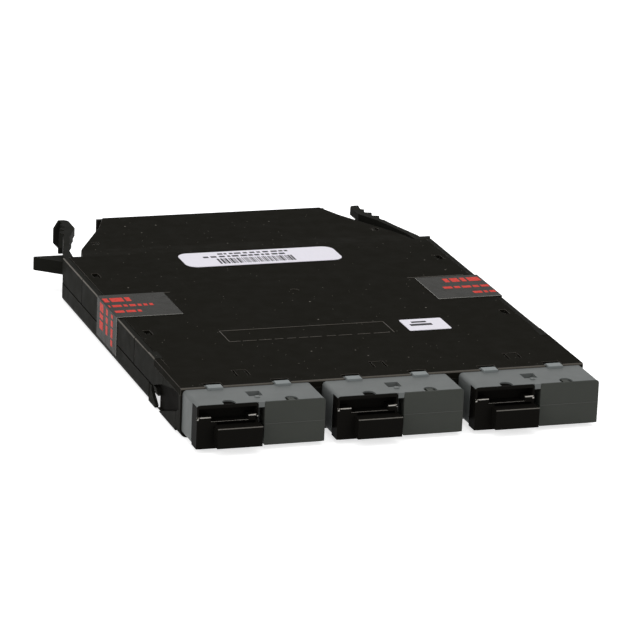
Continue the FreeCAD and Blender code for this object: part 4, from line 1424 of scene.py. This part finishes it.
@dataclass
class Labels(Printing):
    """White labels on the lid, with plain bars where print would be.

    Attributes:
        code: Ends along X and along Y of the field of upright bars.
        rows: Ends along X and along Y of each row of short bars.
        mark: Ends along X and along Y of each bar on the small label.
    """

    code: tuple[Span, Span] = ((-9.8 * MM, 7.0 * MM), (21.5 * MM, 25.2 * MM))
    rows: tuple[tuple[Span, Span], ...] = (
        ((-12.3 * MM, 6.0 * MM), (26.1 * MM, 27.1 * MM)),
        ((-8.6 * MM, 7.1 * MM), (28.0 * MM, 28.9 * MM)),
    )
    mark: tuple[tuple[Span, Span], ...] = (
        ((15.6 * MM, 20.3 * MM), (-27.4 * MM, -26.2 * MM)),
        ((16.4 * MM, 19.6 * MM), (-25.5 * MM, -24.6 * MM)),
    )

    def build(self) -> None:
        """Make both labels and their print."""
        for stem in ("long", "short"):
            label = Piece.from_node(stem + "_label", "label_" + stem)
            dress(label, self.shop.paper)
            Piece.finish(label, HOUSING, "label_white", self.edge, segments=1)
        for stem, fields in (("long", self.code_bars() + self.row_bars()), ("short", self.mark)):
            layer = self.layer(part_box(stem + "_label")[1].z)
            bars = [(across, back, layer) for across, back in fields]
            self.print_bars("label_%s_print" % stem, bars, self.shop.black_ink, "label_white")

    def code_bars(self) -> list[tuple[Span, Span]]:
        """Lay upright bars of mixed widths that stand for a bar code.

        Returns:
            Ends along X and along Y of each bar.
        """
        across, back = self.code
        draw = random.Random(11).choice
        bars = broken_line(*across, lambda: draw((0.16, 0.16, 0.3, 0.45)), lambda: draw((0.18, 0.18, 0.34)))
        return [(bar, back) for bar in bars]

    def row_bars(self) -> list[tuple[Span, Span]]:
        """Lay short bars in rows that stand for lines of small print.

        Returns:
            Ends along X and along Y of each bar.
        """
        draw = random.Random(5).uniform
        fields = []
        for across, back in self.rows:
            bars = broken_line(*across, lambda: draw(0.6, 1.5), lambda: draw(0.25, 0.6))
            fields += [(bar, back) for bar in bars]
        return fields


@dataclass
class TapeSeals(Printing):
    """Tape over each side edge, printed with plain red bars that run round the fold.

    Attributes:
        fold: Rounding of the tape where it folds over the edge.
        gap: Space between two bars of a row.
        stretch: Factors of a bar's width that are drawn from.
        start_margin: Nearest start of a bar to the fold, on the lid and on the side.
        end_margin: Nearest end of a bar on the lid to the fold.
        drop: Reach of the print down the side.
    """

    fold: float = 0.1 * MM
    gap: float = 0.45 * MM
    stretch: tuple[float, float, float] = (0.6, 1.0, 1.5)
    start_margin: float = 0.6 * MM
    end_margin: float = 0.3 * MM
    drop: float = 6.4 * MM

    def build(self) -> None:
        """Make both seals and their print, with a painted highlight on the seals' eased edges."""
        rows = {
            Side.LEFT: ((35.6, -0.6, 2.0, 1.8, 1), (31.9, -4.1, -2.7, 1.3, 2), (35.4, -7.9, -6.5, 1.3, 3)),
            Side.RIGHT: ((33.0, 0.0, 2.6, 1.8, 4), (31.2, -4.3, -2.9, 1.3, 5), (36.4, -8.3, -6.9, 1.3, 6)),
        }
        for side in Side:
            low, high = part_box("seal_" + side.word)
            outer = max(side.value * low.x, side.value * high.x)
            seal = Piece.from_node("seal_" + side.word, "tape_" + side.word)
            # The eased edges take the painted highlight.
            dress(seal, self.shop.film, self.shop.film_painted_highlight)
            Piece.round_along(
                seal,
                lambda ends: all(side.value * end.x > outer - NEAR and end.z > high.z - NEAR for end in ends),
                self.fold,
                segments=3,
            )
            Piece.finish(seal, HOUSING, "seal_film", self.edge, segments=1, angle=50.0, rim=1)
            bars = [bar for row in rows[side] for bar in self.row_bars(side, outer, high.z, *row)]
            self.print_bars("tape_print_" + side.word, bars, self.shop.red_ink, "seal_film")

    def row_bars(
        self,
        side: Side,
        outer: float,
        top: float,
        inner: float,
        front: float,
        back: float,
        width: float,
        seed: int,
    ) -> list[Block]:
        """Lay a row of plain bars on the top of a seal and on down its side.

        Args:
            side: Side of the cassette.
            outer: Distance from the middle to the seal's side face, in metres.
            top: Height of its upper face, in metres.
            inner: Distance from the middle at which the row starts, in millimetres.
            front: Front edge of the row, in millimetres.
            back: Back edge of the row, in millimetres.
            width: Mean width of a bar, in millimetres.
            seed: Seed of the draw of widths.

        Returns:
            Spans of each bar along X, Y and Z.
        """
        draw = random.Random(seed).choice
        run = (front * MM, back * MM)
        bars = []
        reach = inner * MM
        while reach < outer - self.start_margin:
            end = min(reach + width * draw(self.stretch) * MM, outer - self.end_margin)
            bars.append((side.span(reach, end), run, self.layer(top)))
            reach = end + self.gap
        height = top - self.start_margin
        while height > top - self.drop:
            end = height - width * draw(self.stretch) * MM
            bars.append((side.span(*self.layer(outer)), run, (end, height)))
            height = end - self.gap
        return bars


@dataclass
class Studio:
    """Pale floor, soft lamps and a plain sky.

    Attributes:
        floor_size: Width of the floor.
        floor_glow: Strength of the light that whitens the floor to look at.
        sky: Strength of the light from all round.
    """

    floor_size: float = 8.0
    floor_glow: float = 0.7
    sky: float = 0.55

    def build(self) -> None:
        """Make the floor, the sky and the lamps."""
        self.lay_floor()
        self.light_sky()
        self.hang_lamp("lamp_top", Vector((0.0, 0.05, 0.75)), 0.7, 2.0)
        self.hang_lamp("lamp_left", Vector((-0.7, -0.35, 0.45)), 0.5, 1.2)
        self.hang_lamp("lamp_front", Vector((0.35, -0.85, 0.45)), 0.5, 1.0)
        bpy.context.scene.view_settings.view_transform = "Standard"

    def lay_floor(self) -> None:
        """Lay a pale floor that reads white and still takes the object's shadow."""
        pick_nothing()
        bpy.ops.mesh.primitive_plane_add(size=self.floor_size)
        floor = bpy.context.object
        floor.name = "floor"
        bench = ShaderBench("floor_white")
        bench.set(Base_Color=(0.86, 0.86, 0.86, 1.0), Roughness=0.9, Specular_IOR_Level=0.0)
        glow = bench.add("ShaderNodeEmission")
        glow.inputs["Strength"].default_value = self.floor_glow
        both = bench.add("ShaderNodeAddShader")
        bench.join(bench.surface.outputs["BSDF"], both.inputs[0])
        bench.join(glow.outputs["Emission"], both.inputs[1])
        choice = bench.add("ShaderNodeMixShader")
        bench.join(bench.seen_directly(), choice.inputs["Fac"])
        bench.join(bench.surface.outputs["BSDF"], choice.inputs[1])
        bench.join(both.outputs["Shader"], choice.inputs[2])
        bench.join(choice.outputs["Shader"], bench.output.inputs["Surface"])
        dress(floor, bench.material)

    def light_sky(self) -> None:
        """Make the sky white to look at and a plain soft light for the object."""
        world = bpy.data.worlds.new("studio_sky")
        bpy.context.scene.world = world
        world.use_nodes = True
        bench = NodeBench(world.node_tree)
        choice = bench.add("ShaderNodeMixShader")
        bench.join(bench.seen_directly(), choice.inputs["Fac"])
        for index, strength in ((1, self.sky), (2, 1.0)):
            light = bench.add("ShaderNodeBackground")
            light.inputs["Color"].default_value = (1.0, 1.0, 1.0, 1.0)
            light.inputs["Strength"].default_value = strength
            bench.join(light.outputs["Background"], choice.inputs[index])
        output = bench.add("ShaderNodeOutputWorld")
        bench.join(choice.outputs["Shader"], output.inputs["Surface"])

    @staticmethod
    def hang_lamp(name: str, place: Vector, size: float, power: float) -> None:
        """Hang a soft square lamp that faces the object.

        Args:
            name: Name of the lamp.
            place: Where it hangs.
            size: Width of its face.
            power: Power in watts.
        """
        pick_nothing()
        bpy.ops.object.light_add(type="AREA", location=place)
        lamp = bpy.context.object
        lamp.name = name
        lamp.data.size = size
        lamp.data.energy = power
        lamp.rotation_euler = (-place).to_track_quat("-Z", "Y").to_euler()


@dataclass
class ViewPoint:
    """Camera above the left front corner, looking along the cassette.

    Attributes:
        place: Where the camera stands.
        heading: Turn to the right of straight back, in degrees.
        pitch: Angle below level, in degrees.
        roll: Turn about the line of sight, in degrees.
        lens: Focal length, in millimetres.
        frame: Width of the frame, in millimetres.
    """

    place: Vector
    heading: float = 18.979
    pitch: float = 17.441
    roll: float = 2.521
    lens: float = 222.46
    frame: float = 36.0

    def build(self) -> None:
        """Set up the camera."""
        heading = math.radians(self.heading)
        pitch = math.radians(self.pitch)
        roll = math.radians(self.roll)
        level_share = math.cos(pitch)
        forward = Vector((math.sin(heading) * level_share, math.cos(heading) * level_share, -math.sin(pitch)))
        level = Vector((math.cos(heading), -math.sin(heading), 0.0))
        upright = level.cross(forward)
        right = math.cos(roll) * level + math.sin(roll) * upright
        up = math.cos(roll) * upright - math.sin(roll) * level
        turn = Matrix((right, up, -forward)).transposed()
        pick_nothing()
        bpy.ops.object.camera_add(location=self.place)
        camera = bpy.context.object
        camera.name = "viewpoint"
        camera.rotation_euler = turn.to_euler()
        camera.data.lens = self.lens
        camera.data.sensor_width = self.frame
        camera.data.clip_end = 50.0
        bpy.context.scene.camera = camera


def main() -> None:
    """Load the frame and build every sub-assembly around it."""
    logging.basicConfig(level=logging.INFO, format="%(name)s: %(message)s")
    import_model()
    shop = Workshop()
    for assembly in (Housing, PortRow, ReleaseArms, RearPort, Interior, Labels, TapeSeals):
        assembly(shop).build()
    Studio().build()
    ViewPoint(Vector((-250.445, -744.065, 250.64)) * MM).build()
    pick_nothing()


if __name__ == "__main__":
    main()
